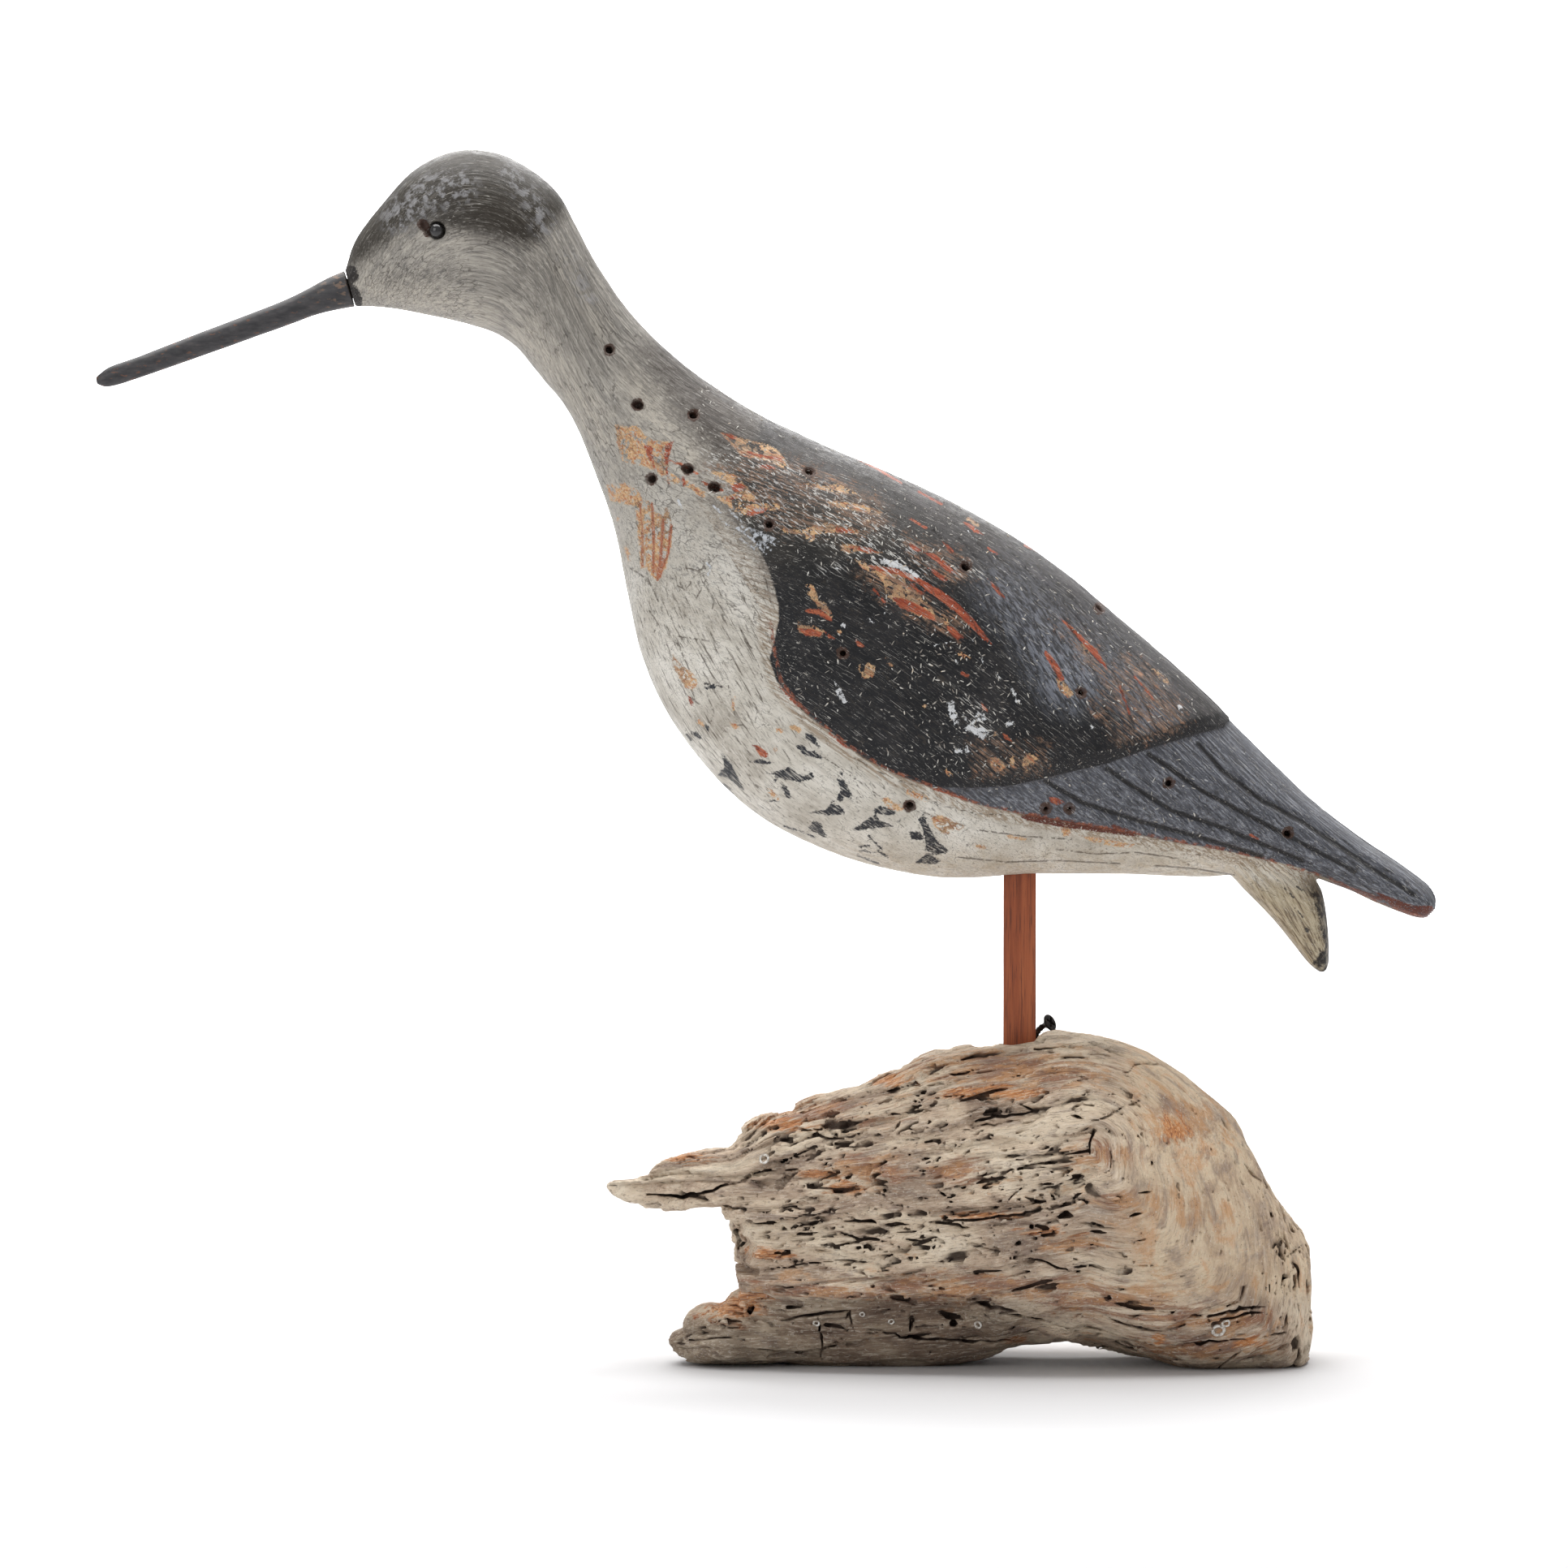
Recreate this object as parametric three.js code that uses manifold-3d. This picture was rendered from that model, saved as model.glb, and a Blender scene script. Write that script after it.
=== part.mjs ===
// Carved and painted shorebird decoy standing on a stick in a piece of driftwood.
// Millimetres, +Z up. The bill points to -X, the tail to +X, the bird's left side to -Y.

import * as THREE from 'three';
import { mergeVertices } from 'three/addons/utils/BufferGeometryUtils.js';
import Module from 'manifold-3d';

const wasm = await Module();
wasm.setup();

// Bird
const BIRD_LENGTH = 366;      // bill tip to wing tip, along the ground
const BODY_WIDTH = 70;        // across the wings
const LEDGE_HEIGHT = 1.1;     // wing edge standing out from the pale flank
const SHELF_HEIGHT = 1.9;     // upper wing standing out from the flight feathers
const GROOVE_DEPTH = 0.9;     // cuts between the flight feathers
const GROOVE_WIDTH = 2.2;
const TIP_NOTCH_WIDTH = 5;    // opening between the two wing tips
const TIP_NOTCH_LENGTH = 20;
const TRUNK_ROUNDNESS = 2.12; // sections: 2 is an ellipse, more is squarer
const TAIL_ROUNDNESS = 3.2;
const BILL_ROUNDNESS = 2.1;
const BACK_GROOVE_WIDTH = 5;  // hollow between the folded wings along the back
const BACK_GROOVE_DEPTH = 1.6;

// Bill and eyes
const TENON_DIAMETER = 5;     // end of the bill let into the face
const TENON_LENGTH = 10;
const TENON_ROOT = 3;         // how far the tenon reaches back inside the bill
const EYE_DIAMETER = 4.2;
const EYE_PROUD = 0.9;        // bead standing out of the face
const SOCKET_OPEN_WIDTH = 2.8;   // open part of the eye hole in front of the bead
const SOCKET_OPEN_HEIGHT = 4.2;

// Stick and screw
const STICK_SIDE = 9;
const STICK_SHOWING = 46.6;   // between the belly and the driftwood
const STICK_IN_BODY = 20;
const STICK_IN_STAND = 25;
const SCREW_HEAD = 4.9;
const SCREW_SHANK = 1.8;
const SCREW_LENGTH = 17;
const SCREW_SHOWING = 5.6;
const SCREW_LEAN = 25;        // degrees, to the right
const SCREW_RISE = 1.2;       // the driftwood is this much higher there than at the stick
const SCREW_WALL = 0.5;       // wood left between the stick's hole and the screw's

// Driftwood
const DRIFTWOOD_LENGTH = 193;
const DRIFTWOOD_DEPTH = 91;
const STICK_AT = 58.6;        // place of the stick, hundredths of the driftwood length
const WOOD_ROUNDNESS = 2.5;
const END_LEAN = 0.22;        // slope of the broken end, run over rise

const SEAM = 0.3;             // free space between two pieces that touch

// The bird's outline, seen from its left, in hundredths of its length from the point
// where the stick enters the belly: back x, back z, underside x, underside z, and then
// the half width in hundredths of the body width.
const TRUNK = [
  [18.6, 45.2, 19.4, 42.5, 7.4],
  [19.4, 47.5, 20.7, 42.5, 11.4],
  [21.3, 50.1, 22.6, 42.3, 16.4],
  [23.8, 52.7, 25.0, 41.8, 21.4],
  [26.8, 54.1, 27.7, 41.2, 25.0],
  [29.8, 54.0, 29.8, 40.5, 25.7],
  [32.3, 52.8, 31.2, 39.6, 24.6],
  [34.4, 51.0, 32.3, 38.4, 22.9],
  [35.9, 48.4, 33.5, 36.9, 21.1],
  [37.4, 45.6, 34.8, 35.3, 20.3],
  [39.5, 42.5, 36.2, 32.8, 20.9],
  [42.0, 39.8, 37.4, 29.7, 23.6],
  [45.0, 37.3, 38.5, 26.6, 28.6],
  [49.2, 34.6, 39.5, 22.0, 35.7],
  [54.1, 32.2, 40.6, 16.8, 42.5],
  [58.9, 30.2, 42.3, 12.7, 46.4],
  [63.8, 27.9, 45.0, 8.7, 48.4],
  [68.6, 25.2, 49.2, 4.6, 48.8],
  [72.3, 22.6, 55.3, 1.5, 48.0],
  [75.9, 19.6, 62.6, -0.2, 46.0],
  [79.6, 16.4, 69.9, 0.0, 42.0],
  [83.2, 13.0, 76.5, 0.0, 37.0],
  [86.8, 9.4, 83.2, -0.2, 31.5],
  [90.5, 5.8, 88.7, 0.3, 26.0],
  [94.1, 2.9, 92.9, -0.9, 21.8],
  [97.8, 0.4, 96.8, -2.6, 17.6],
  [99.5, -1.0, 99.1, -3.2, 13.6],
  [100.0, -1.9, 99.9, -2.6, 9.0],
];
const WING_ROW = 12;          // the wings begin at this row of the trunk
const STICK_IN = 69.0;        // the stick's place along the bird

const LEDGE = [
  [50.3, 19.4], [50.6, 17.2], [51.1, 15.0], [52.6, 13.2], [53.8, 12.1], [56.2, 10.2],
  [58.9, 8.5], [62.6, 7.1], [65.6, 5.9], [69.3, 5.1], [74.1, 4.2], [77.7, 3.5],
  [83.8, 2.3], [87.4, 1.4], [92.3, -0.2], [95.3, -1.8], [99.3, -3.3],
];
const SHELF = [
  [62.6, 7.2], [65.6, 7.2], [68.0, 7.3], [70.5, 7.8], [72.9, 8.4], [75.3, 8.9],
  [77.7, 9.7], [80.2, 10.4], [82.6, 11.0], [84.1, 11.2],
];
const GROOVES = [
  [[82.2, 10.2], [83.0, 9.4], [83.9, 8.3], [87.0, 5.9], [90.1, 4.2], [96.3, 0.0], [98.4, -1.3]],
  [[78.5, 9.5], [79.9, 8.6], [82.4, 6.8], [85.5, 5.1], [90.9, 2.2], [94.0, 0.5]],
  [[75.4, 8.5], [76.8, 7.5], [80.2, 5.3], [83.9, 4.0], [90.1, 1.3]],
  [[70.8, 7.6], [73.7, 5.9], [77.8, 4.5], [82.4, 3.2], [87.0, 1.7]],
];

// Tail: front edge x, z, rear edge x, z, half width as for the trunk.
const TAIL = [
  [83.2, 1.6, 90.5, 2.9, 22.9],
  [85.6, -0.9, 91.1, -0.3, 23.6],
  [86.8, -2.1, 91.6, -1.4, 24.3],
  [88.1, -3.5, 91.9, -2.9, 24.3],
  [89.3, -5.0, 92.1, -4.7, 23.6],
  [90.6, -6.6, 92.1, -6.3, 22.1],
  [91.4, -7.2, 92.0, -6.9, 19.3],
];

// Bill: upper edge x, z, lower edge x, z, half width, all in hundredths of the bird length.
const BILL = [
  [18.6, 45.2, 19.4, 42.5, 1.15],
  [17.4, 44.7, 18.3, 42.3, 1.07],
  [15.9, 43.9, 16.6, 41.9, 0.90],
  [13.8, 42.9, 14.4, 41.1, 0.82],
  [6.8, 40.2, 7.4, 38.6, 0.71],
  [3.2, 38.8, 3.7, 37.3, 0.66],
  [1.0, 38.0, 1.5, 36.6, 0.55],
  [0.3, 37.5, 0.7, 36.5, 0.40],
  [0.0, 37.2, 0.1, 36.7, 0.15],
];
const EYE_AT = [25.5, 48.4];
const SOCKET_OPEN_AT = [24.6, 48.8];

// Driftwood, hundredths of its length: x, top, bottom, half depth. Below zero is cut off
// level, which makes the flats that it stands on.
const BLOCK = [
  [17.8, 29.0, 0.5, 15.0], [19.6, 32.2, 0.7, 16.1], [22.1, 35.2, 0.4, 17.1],
  [26.2, 36.1, -0.6, 17.6], [30.2, 38.2, -0.9, 18.7], [34.8, 38.9, -1.1, 19.2],
  [40.6, 41.4, -1.2, 20.2], [46.3, 44.4, -0.9, 21.2], [52.1, 44.9, 0.5, 21.8],
  [56.7, 45.0, 2.5, 22.3], [60.1, 45.8, 3.4, 22.8], [63.6, 47.0, 3.4, 23.3],
  [68.2, 46.6, 2.9, 23.6], [72.8, 45.7, 2.1, 23.6], [77.4, 43.7, 0.8, 23.3],
  [82.0, 41.0, -0.8, 22.8], [86.6, 37.2, -1.2, 21.8], [90.1, 33.3, -1.0, 20.2],
  [92.4, 28.0, -1.0, 18.9], [95.3, 23.3, -1.2, 17.1], [97.6, 20.5, -1.2, 15.0],
  [99.3, 17.9, 0.2, 12.2], [100.0, 14.1, 2.3, 8.8],
];
const UPPER_PRONG = [
  [0.0, 25.8, 24.8, 1.2], [2.5, 26.4, 23.2, 3.2], [4.8, 27.0, 22.3, 4.8],
  [7.1, 28.5, 22.2, 6.4], [10.6, 29.9, 22.2, 8.6], [14.1, 30.5, 22.4, 10.8],
  [17.5, 30.9, 22.4, 12.2], [22.1, 31.8, 22.4, 13.0],
];
const LOWER_PRONG = [
  [8.9, 3.9, 2.9, 2.0], [10.2, 4.8, 1.6, 4.6], [11.5, 6.9, 0.9, 7.2],
  [14.1, 8.2, 0.5, 9.8], [16.9, 9.0, 0.2, 12.4], [21.0, 10.6, 0.2, 14.0],
];

// Makes a solid from points and triangles, turned so that its faces look outward.
function solid(points, triangles) {
  let volume = 0;
  for (const [a, b, c] of triangles) {
    volume += points[a].dot(points[b].clone().cross(points[c]));
  }
  const order = volume < 0 ? triangles.map(([a, b, c]) => [a, c, b]) : triangles;
  return new wasm.Manifold(new wasm.Mesh({
    numProp: 3,
    vertProperties: new Float32Array(points.flatMap((p) => [p.x, p.y, p.z])),
    triVerts: new Uint32Array(order.flat()),
  }));
}

function solidOf(geometry) {
  geometry.deleteAttribute('normal');
  geometry.deleteAttribute('uv');
  const merged = mergeVertices(geometry, 1e-4);
  const at = merged.getAttribute('position');
  const points = [];
  for (let i = 0; i < at.count; i += 1) points.push(new THREE.Vector3().fromBufferAttribute(at, i));
  const triangles = [];
  for (let i = 0; i < merged.index.count; i += 3) {
    triangles.push([0, 1, 2].map((k) => merged.index.getX(i + k)));
  }
  return solid(points, triangles);
}

// Skins a row of rings that all have the same number of points and closes both ends.
function loft(rings) {
  const n = rings[0].length;
  const points = rings.flat();
  const triangles = [];
  for (let i = 0; i + 1 < rings.length; i += 1) {
    for (let j = 0; j < n; j += 1) {
      const a = i * n + j;
      const b = i * n + ((j + 1) % n);
      triangles.push([a, b, a + n], [b, b + n, a + n]);
    }
  }
  for (const [start, turn] of [[0, false], [points.length - n, true]]) {
    const middle = new THREE.Vector3();
    for (let j = 0; j < n; j += 1) middle.add(points[start + j]);
    points.push(middle.divideScalar(n));
    const m = points.length - 1;
    for (let j = 0; j < n; j += 1) {
      const a = start + j;
      const b = start + ((j + 1) % n);
      triangles.push(turn ? [a, b, m] : [b, a, m]);
    }
  }
  return solid(points, triangles);
}

const power = (c, n) => Math.sign(c) * Math.abs(c) ** (2 / n);
const smooth = (t) => { const k = Math.min(1, Math.max(0, t)); return k * k * (3 - 2 * k); };

// One ring across the form, between an upper and a lower point of its outline.
function ring(top, bottom, halfWidth, count, roundness, swell = () => 0) {
  const middle = top.clone().add(bottom).multiplyScalar(0.5);
  const up = top.clone().sub(bottom).multiplyScalar(0.5);
  const height = up.length();
  up.normalize();
  const points = [];
  for (let k = 0; k < count; k += 1) {
    const angle = (2 * Math.PI * k) / count;
    const c = power(Math.cos(angle), roundness);
    const s = power(Math.sin(angle), roundness);
    const plain = middle.clone().addScaledVector(up, height * c);
    const out = swell(plain.x, plain.z) * Math.abs(Math.sin(angle)) ** 0.6;
    points.push(middle.clone()
      .addScaledVector(up, (height + out) * c)
      .add(new THREE.Vector3(0, (halfWidth + out) * s, 0)));
  }
  return points;
}

function outlineCurves(rows, lengthUnit, widthUnit) {
  const curve = (i, j) => new THREE.CatmullRomCurve3(
    rows.map((r) => new THREE.Vector3(r[i] * lengthUnit, r[4] * widthUnit, r[j] * lengthUnit)),
    false, 'centripetal');
  return { upper: curve(0, 1), lower: curve(2, 3) };
}

// Rings along a table of outline rows, evenly many between each two rows.
function rings(table, { lengthUnit, widthUnit, steps, count, roundness, from = 0, cut = 0, swell }) {
  const rows = table.slice(from);
  const { upper, lower } = outlineCurves(rows, lengthUnit, widthUnit);
  const total = (rows.length - 1) * steps - cut;
  const result = [];
  for (let i = 0; i <= total; i += 1) {
    const t = i / ((rows.length - 1) * steps);
    const top = upper.getPoint(t);
    const bottom = lower.getPoint(t);
    const width = Math.max(top.y, 0.1);
    top.y = 0;
    bottom.y = 0;
    result.push(ring(top, bottom, width, count, roundness, swell));
  }
  return result;
}

const BIRD_UNIT = BIRD_LENGTH / 100;
const WIDTH_UNIT = BODY_WIDTH / 100;
const birdPoint = ([x, z]) => new THREE.Vector3(x * BIRD_UNIT, 0, z * BIRD_UNIT);

function distanceTo(line, x, z) {
  const here = new THREE.Vector3(x, 0, z);
  const near = new THREE.Vector3();
  let best = Infinity;
  for (let i = 0; i + 1 < line.length; i += 1) {
    new THREE.Line3(birdPoint(line[i]), birdPoint(line[i + 1])).closestPointToPoint(here, true, near);
    best = Math.min(best, near.distanceTo(here));
  }
  return best;
}

// How far the wing stands out of the plain trunk. It fades towards back and shoulder,
// where it sinks a little below the trunk so that the two surfaces cross cleanly.
const SUNK = 0.25;
const FADE = 0.10 * BIRD_LENGTH;
function wingSwell(x, z) {
  const start = smooth(distanceTo(LEDGE.slice(0, 2), x, z) / (0.55 * FADE));
  return (LEDGE_HEIGHT + SUNK) * start * (1 - smooth(distanceTo(LEDGE, x, z) / FADE)) - SUNK;
}
function covertSwell(x, z) {
  return wingSwell(x, z) - SUNK
    + (SHELF_HEIGHT + SUNK) * (1 - smooth(distanceTo(SHELF, x, z) / FADE));
}

function trunk(options = {}) {
  return loft(rings(TRUNK, {
    lengthUnit: BIRD_UNIT, widthUnit: WIDTH_UNIT, roundness: TRUNK_ROUNDNESS,
    steps: 2, count: 26, ...options,
  }));
}

// A flat outline in the side view, pushed right through the bird from side to side.
function through(outline, reach = BODY_WIDTH) {
  const shape = new THREE.Shape(outline.map(([x, z]) => new THREE.Vector2(x * BIRD_UNIT, z * BIRD_UNIT)));
  const geometry = new THREE.ExtrudeGeometry(shape, { depth: 2 * reach, bevelEnabled: false });
  geometry.rotateX(Math.PI / 2);
  geometry.translate(0, reach, 0);
  return solidOf(geometry);
}

function wings() {
  const rest = { from: WING_ROW, cut: 1 };
  const overBack = [[102, 6], [78, 32], [46, 46], [44, 30]];
  const whole = through([...LEDGE, [101, -3.6], ...overBack])
    .intersect(trunk({ ...rest, swell: wingSwell }));
  const frontLedge = LEDGE.filter(([x]) => x < SHELF[0][0]);
  const coverts = through([...frontLedge, ...SHELF, [86.5, 13], ...overBack.slice(1)])
    .intersect(trunk({ ...rest, cut: 6, swell: covertSwell }));
  return whole.add(coverts);
}

// A V cut along a line on one wing, running out at both ends.
function vCut(line, hand) {
  const list = line.map(([x, z], i) => {
    const before = birdPoint(line[Math.max(0, i - 1)]);
    const after = birdPoint(line[Math.min(line.length - 1, i + 1)]);
    const along = after.sub(before).normalize();
    const p = birdPoint([x, z]);
    const k = Math.min(1, 0.45 + i * 0.4, 0.3 + (line.length - 1 - i) * 0.35);
    const surface = sideAt([x, z]) + wingSwell(p.x, p.z);
    const across = new THREE.Vector3(-along.z, 0, along.x).multiplyScalar(0.8 * GROOVE_WIDTH * k);
    const at = (y, shift) => new THREE.Vector3(p.x, hand * y, p.z).addScaledVector(across, shift);
    return [at(surface - GROOVE_DEPTH * k, 0), at(surface + 0.6 * GROOVE_DEPTH, 1),
      at(surface + 3, 1), at(surface + 3, -1), at(surface + 0.6 * GROOVE_DEPTH, -1)];
  });
  return loft(list);
}
function featherGrooves() {
  return GROOVES.flatMap((line) => [vCut(line, -1), vCut(line, 1)])
    .reduce((all, one) => all.add(one));
}

function tail() {
  return loft(rings(TAIL, {
    lengthUnit: BIRD_UNIT, widthUnit: WIDTH_UNIT, roundness: TAIL_ROUNDNESS, steps: 1, count: 16,
  }));
}

// The opening between the wing tips and the hollow that leads to it along the back.
function tipNotch() {
  const end = 101 * BIRD_UNIT;
  const start = 100 * BIRD_UNIT - TIP_NOTCH_LENGTH;
  const shape = new THREE.Shape([
    new THREE.Vector2(start, 0),
    new THREE.Vector2(end, -TIP_NOTCH_WIDTH / 2),
    new THREE.Vector2(end, TIP_NOTCH_WIDTH / 2),
  ]);
  const geometry = new THREE.ExtrudeGeometry(shape, { depth: 0.2 * BIRD_LENGTH, bevelEnabled: false });
  geometry.translate(0, 0, -0.1 * BIRD_LENGTH);
  return solidOf(geometry);
}
function backGroove() {
  const rows = TRUNK.slice(19, 26).map(([x, z], i) => {
    const p = birdPoint([x, z]);
    const k = smooth(i / 4);
    return [
      new THREE.Vector3(p.x, 0, p.z - BACK_GROOVE_DEPTH * k),
      new THREE.Vector3(p.x, (BACK_GROOVE_WIDTH / 2) * (0.3 + 0.7 * k), p.z + 0.5),
      new THREE.Vector3(p.x, 0, p.z + 3),
      new THREE.Vector3(p.x, (-BACK_GROOVE_WIDTH / 2) * (0.3 + 0.7 * k), p.z + 0.5),
    ];
  });
  return loft(rows);
}

// Half width of the plain trunk at a place in the side view: the section that passes
// through the place is found first, then the place along that section.
function sideAt([x, z]) {
  const { upper, lower } = outlineCurves(TRUNK, BIRD_UNIT, WIDTH_UNIT);
  const here = birdPoint([x, z]);
  const section = (t) => {
    const top = upper.getPoint(t);
    const bottom = lower.getPoint(t).setY(0);
    const width = top.y;
    top.y = 0;
    const down = bottom.clone().sub(top);
    const off = here.clone().sub(top);
    const along = off.dot(down) / down.lengthSq();
    return { width, along, side: down.x * off.z - down.z * off.x };
  };
  let before = section(0);
  for (let i = 1; i <= 400; i += 1) {
    const after = section(i / 400);
    if (before.side * after.side <= 0 && Math.abs(after.along - 0.5) < 0.6) {
      const k = Math.min(1, Math.abs(2 * after.along - 1));
      return after.width * (1 - k ** TRUNK_ROUNDNESS) ** (1 / TRUNK_ROUNDNESS);
    }
    before = after;
  }
  return 0;
}

function eyeCentre(hand) {
  const p = birdPoint(EYE_AT);
  p.y = hand * (sideAt(EYE_AT) + EYE_PROUD - EYE_DIAMETER / 2);
  return p;
}

function roundHole(centre, width, height, from, to) {
  const geometry = new THREE.CylinderGeometry(0.5, 0.5, 1, 20);
  geometry.scale(width, Math.abs(to - from), height);
  geometry.translate(centre.x, (from + to) / 2, centre.z);
  return solidOf(geometry);
}
function eyeSocket(hand) {
  const eye = eyeCentre(hand);
  const floor = eye.y - hand * (EYE_DIAMETER / 2 + SEAM);
  const outside = hand * BODY_WIDTH / 2;
  const wide = EYE_DIAMETER + 2 * SEAM;
  const open = birdPoint(SOCKET_OPEN_AT);
  return roundHole(eye, wide, wide, floor, outside)
    .add(roundHole(open, SOCKET_OPEN_WIDTH, SOCKET_OPEN_HEIGHT, floor, outside));
}

const BILL_ROOT = birdPoint([(BILL[0][0] + BILL[0][2]) / 2, (BILL[0][1] + BILL[0][3]) / 2]);
const BILL_TIP = birdPoint([(BILL.at(-1)[0] + BILL.at(-1)[2]) / 2, (BILL.at(-1)[1] + BILL.at(-1)[3]) / 2]);
const INTO_FACE = BILL_ROOT.clone().sub(BILL_TIP).normalize();

function alongBill(diameter, from, to) {
  const geometry = new THREE.CylinderGeometry(diameter / 2, diameter / 2, to - from, 18);
  geometry.applyQuaternion(new THREE.Quaternion()
    .setFromUnitVectors(new THREE.Vector3(0, 1, 0), INTO_FACE));
  const middle = BILL_ROOT.clone().addScaledVector(INTO_FACE, (from + to) / 2);
  geometry.translate(middle.x, middle.y, middle.z);
  return solidOf(geometry);
}

function bird() {
  const stickHole = upright(STICK_SIDE + 2 * SEAM, -STICK_SIDE, STICK_IN_BODY + SEAM)
    .translate([STICK_IN * BIRD_UNIT, 0, 0]);
  return trunk().add(wings()).add(tail())
    .subtract(featherGrooves())
    .subtract(backGroove())
    .subtract(tipNotch())
    .subtract(eyeSocket(-1)).subtract(eyeSocket(1))
    .subtract(alongBill(TENON_DIAMETER + 2 * SEAM, -TENON_ROOT, TENON_LENGTH + SEAM))
    .subtract(stickHole);
}

function bill() {
  const blade = loft(rings(BILL, {
    lengthUnit: BIRD_UNIT, widthUnit: BIRD_UNIT, roundness: BILL_ROUNDNESS, steps: 1, count: 14,
  }));
  const away = INTO_FACE.clone().multiplyScalar(-SEAM);
  return blade.translate([away.x, away.y, away.z])
    .add(alongBill(TENON_DIAMETER, -TENON_ROOT, TENON_LENGTH));
}

function eye(hand) {
  const centre = eyeCentre(hand);
  const geometry = new THREE.SphereGeometry(EYE_DIAMETER / 2, 12, 8);
  geometry.translate(centre.x, centre.y, centre.z);
  return solidOf(geometry);
}

function upright(side, from, to) {
  const geometry = new THREE.BoxGeometry(side, side, to - from);
  geometry.translate(0, 0, (from + to) / 2);
  return solidOf(geometry);
}

const WOOD_UNIT = DRIFTWOOD_LENGTH / 100;
const DEPTH_UNIT = DRIFTWOOD_DEPTH / (2 * Math.max(...BLOCK.map((row) => row[3])));

// One ring of the driftwood, lumpy, with the overhang along the front of its left half.
function woodRing([x, top, bottom, half], shift, lean, count) {
  const middle = (top + bottom) / 2;
  const height = (top - bottom) / 2;
  const points = [];
  for (let k = 0; k < count; k += 1) {
    const angle = (2 * Math.PI * k) / count;
    const z = middle + height * power(Math.cos(angle), WOOD_ROUNDNESS);
    const lump = 1 + 0.05 * Math.sin(0.07 * x + 2 * angle + 0.6) + 0.035 * Math.sin(0.05 * x - 3 * angle)
      + 0.02 * Math.sin(0.19 * x + 5 * angle);
    let y = half * power(Math.sin(angle), WOOD_ROUNDNESS) * lump + shift;
    const under = smooth((11.5 - z) / 1.5) * smooth((57 - x) / 6) * smooth((x - 16) / 4);
    if (y < 0) y *= 1 - 0.16 * under;
    const leaning = x - lean * (Math.min(z, 20) - 16);
    points.push(new THREE.Vector3(leaning * WOOD_UNIT, y * DEPTH_UNIT, z * WOOD_UNIT));
  }
  return points;
}

function woodForm(table, { steps, count, shift = 0, lean = () => 0 }) {
  const middle = new THREE.CatmullRomCurve3(
    table.map(([x, top, bottom]) => new THREE.Vector3(x, bottom, top)), false, 'centripetal');
  const side = new THREE.CatmullRomCurve3(
    table.map(([x, , , half]) => new THREE.Vector3(x, half, 0)), false, 'centripetal');
  const list = [];
  const total = (table.length - 1) * steps;
  for (let i = 0; i <= total; i += 1) {
    const p = middle.getPoint(i / total);
    const half = side.getPoint(i / total).y;
    list.push(woodRing([p.x, p.z, p.y, half], shift, lean(p.x), count));
  }
  return loft(list);
}

function topOfWood(x) {
  const next = BLOCK.findIndex((row) => row[0] > x);
  const [a, b] = [BLOCK[next - 1], BLOCK[next]];
  return (a[1] + ((x - a[0]) / (b[0] - a[0])) * (b[1] - a[1])) * WOOD_UNIT;
}
const SEAT = topOfWood(STICK_AT);

// Hollow in the broken end between the two prongs.
function endHollow() {
  const geometry = new THREE.SphereGeometry(1, 14, 10);
  geometry.scale(4.6 * WOOD_UNIT, 9 * DEPTH_UNIT, 4.4 * WOOD_UNIT);
  geometry.rotateY(0.25);
  geometry.translate(17.6 * WOOD_UNIT, -2.5 * DEPTH_UNIT, 17.4 * WOOD_UNIT);
  return solidOf(geometry);
}

function driftwood() {
  const block = woodForm(BLOCK, {
    steps: 2, count: 22, lean: (x) => END_LEAN * (1 - smooth((x - BLOCK[0][0]) / 14)),
  });
  const upper = woodForm(UPPER_PRONG, { steps: 1, count: 14, shift: -3 });
  const lower = woodForm(LOWER_PRONG, { steps: 1, count: 14, shift: -2 });
  const ground = new THREE.BoxGeometry(3 * DRIFTWOOD_LENGTH, 3 * DRIFTWOOD_DEPTH, DRIFTWOOD_LENGTH);
  ground.translate(0, 0, -DRIFTWOOD_LENGTH / 2);
  const place = [STICK_AT * WOOD_UNIT, 0, 0];
  return block.subtract(endHollow()).add(upper).add(lower)
    .subtract(solidOf(ground))
    .subtract(upright(STICK_SIDE + 2 * SEAM, SEAT - STICK_IN_STAND - SEAM, SEAT + 20).translate(place))
    .subtract(screw(SEAM).translate(place));
}

// The screw leans behind the stick's right edge; with a clearance it is its own hole.
function screw(clearance = 0) {
  const r = SCREW_SHANK / 2 + clearance;
  const head = SCREW_HEAD / 2 + clearance;
  const outline = clearance > 0
    ? [[0, -SCREW_LENGTH - clearance], [r, -SCREW_LENGTH - clearance], [r, head], [0, head]]
    : [[0, -SCREW_LENGTH], [r, -SCREW_LENGTH + 2.5], [r, -2.2], [head, -0.5], [head, 0],
      [0.5 * head, 0.15], [0.4 * head, -0.8], [0, -0.9]];
  const geometry = new THREE.LatheGeometry(outline.map(([x, z]) => new THREE.Vector2(x, z)), 14);
  geometry.rotateX(Math.PI / 2);
  geometry.rotateY(THREE.MathUtils.degToRad(SCREW_LEAN));
  const behind = STICK_SIDE / 2 + 2 * SEAM + SCREW_WALL + SCREW_SHANK / 2;
  const lean = THREE.MathUtils.degToRad(SCREW_LEAN);
  geometry.translate(STICK_SIDE / 2 + SEAM + SCREW_SHOWING * Math.sin(lean), behind,
    SEAT + SCREW_RISE + SCREW_SHOWING * Math.cos(lean));
  return solidOf(geometry);
}

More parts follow.
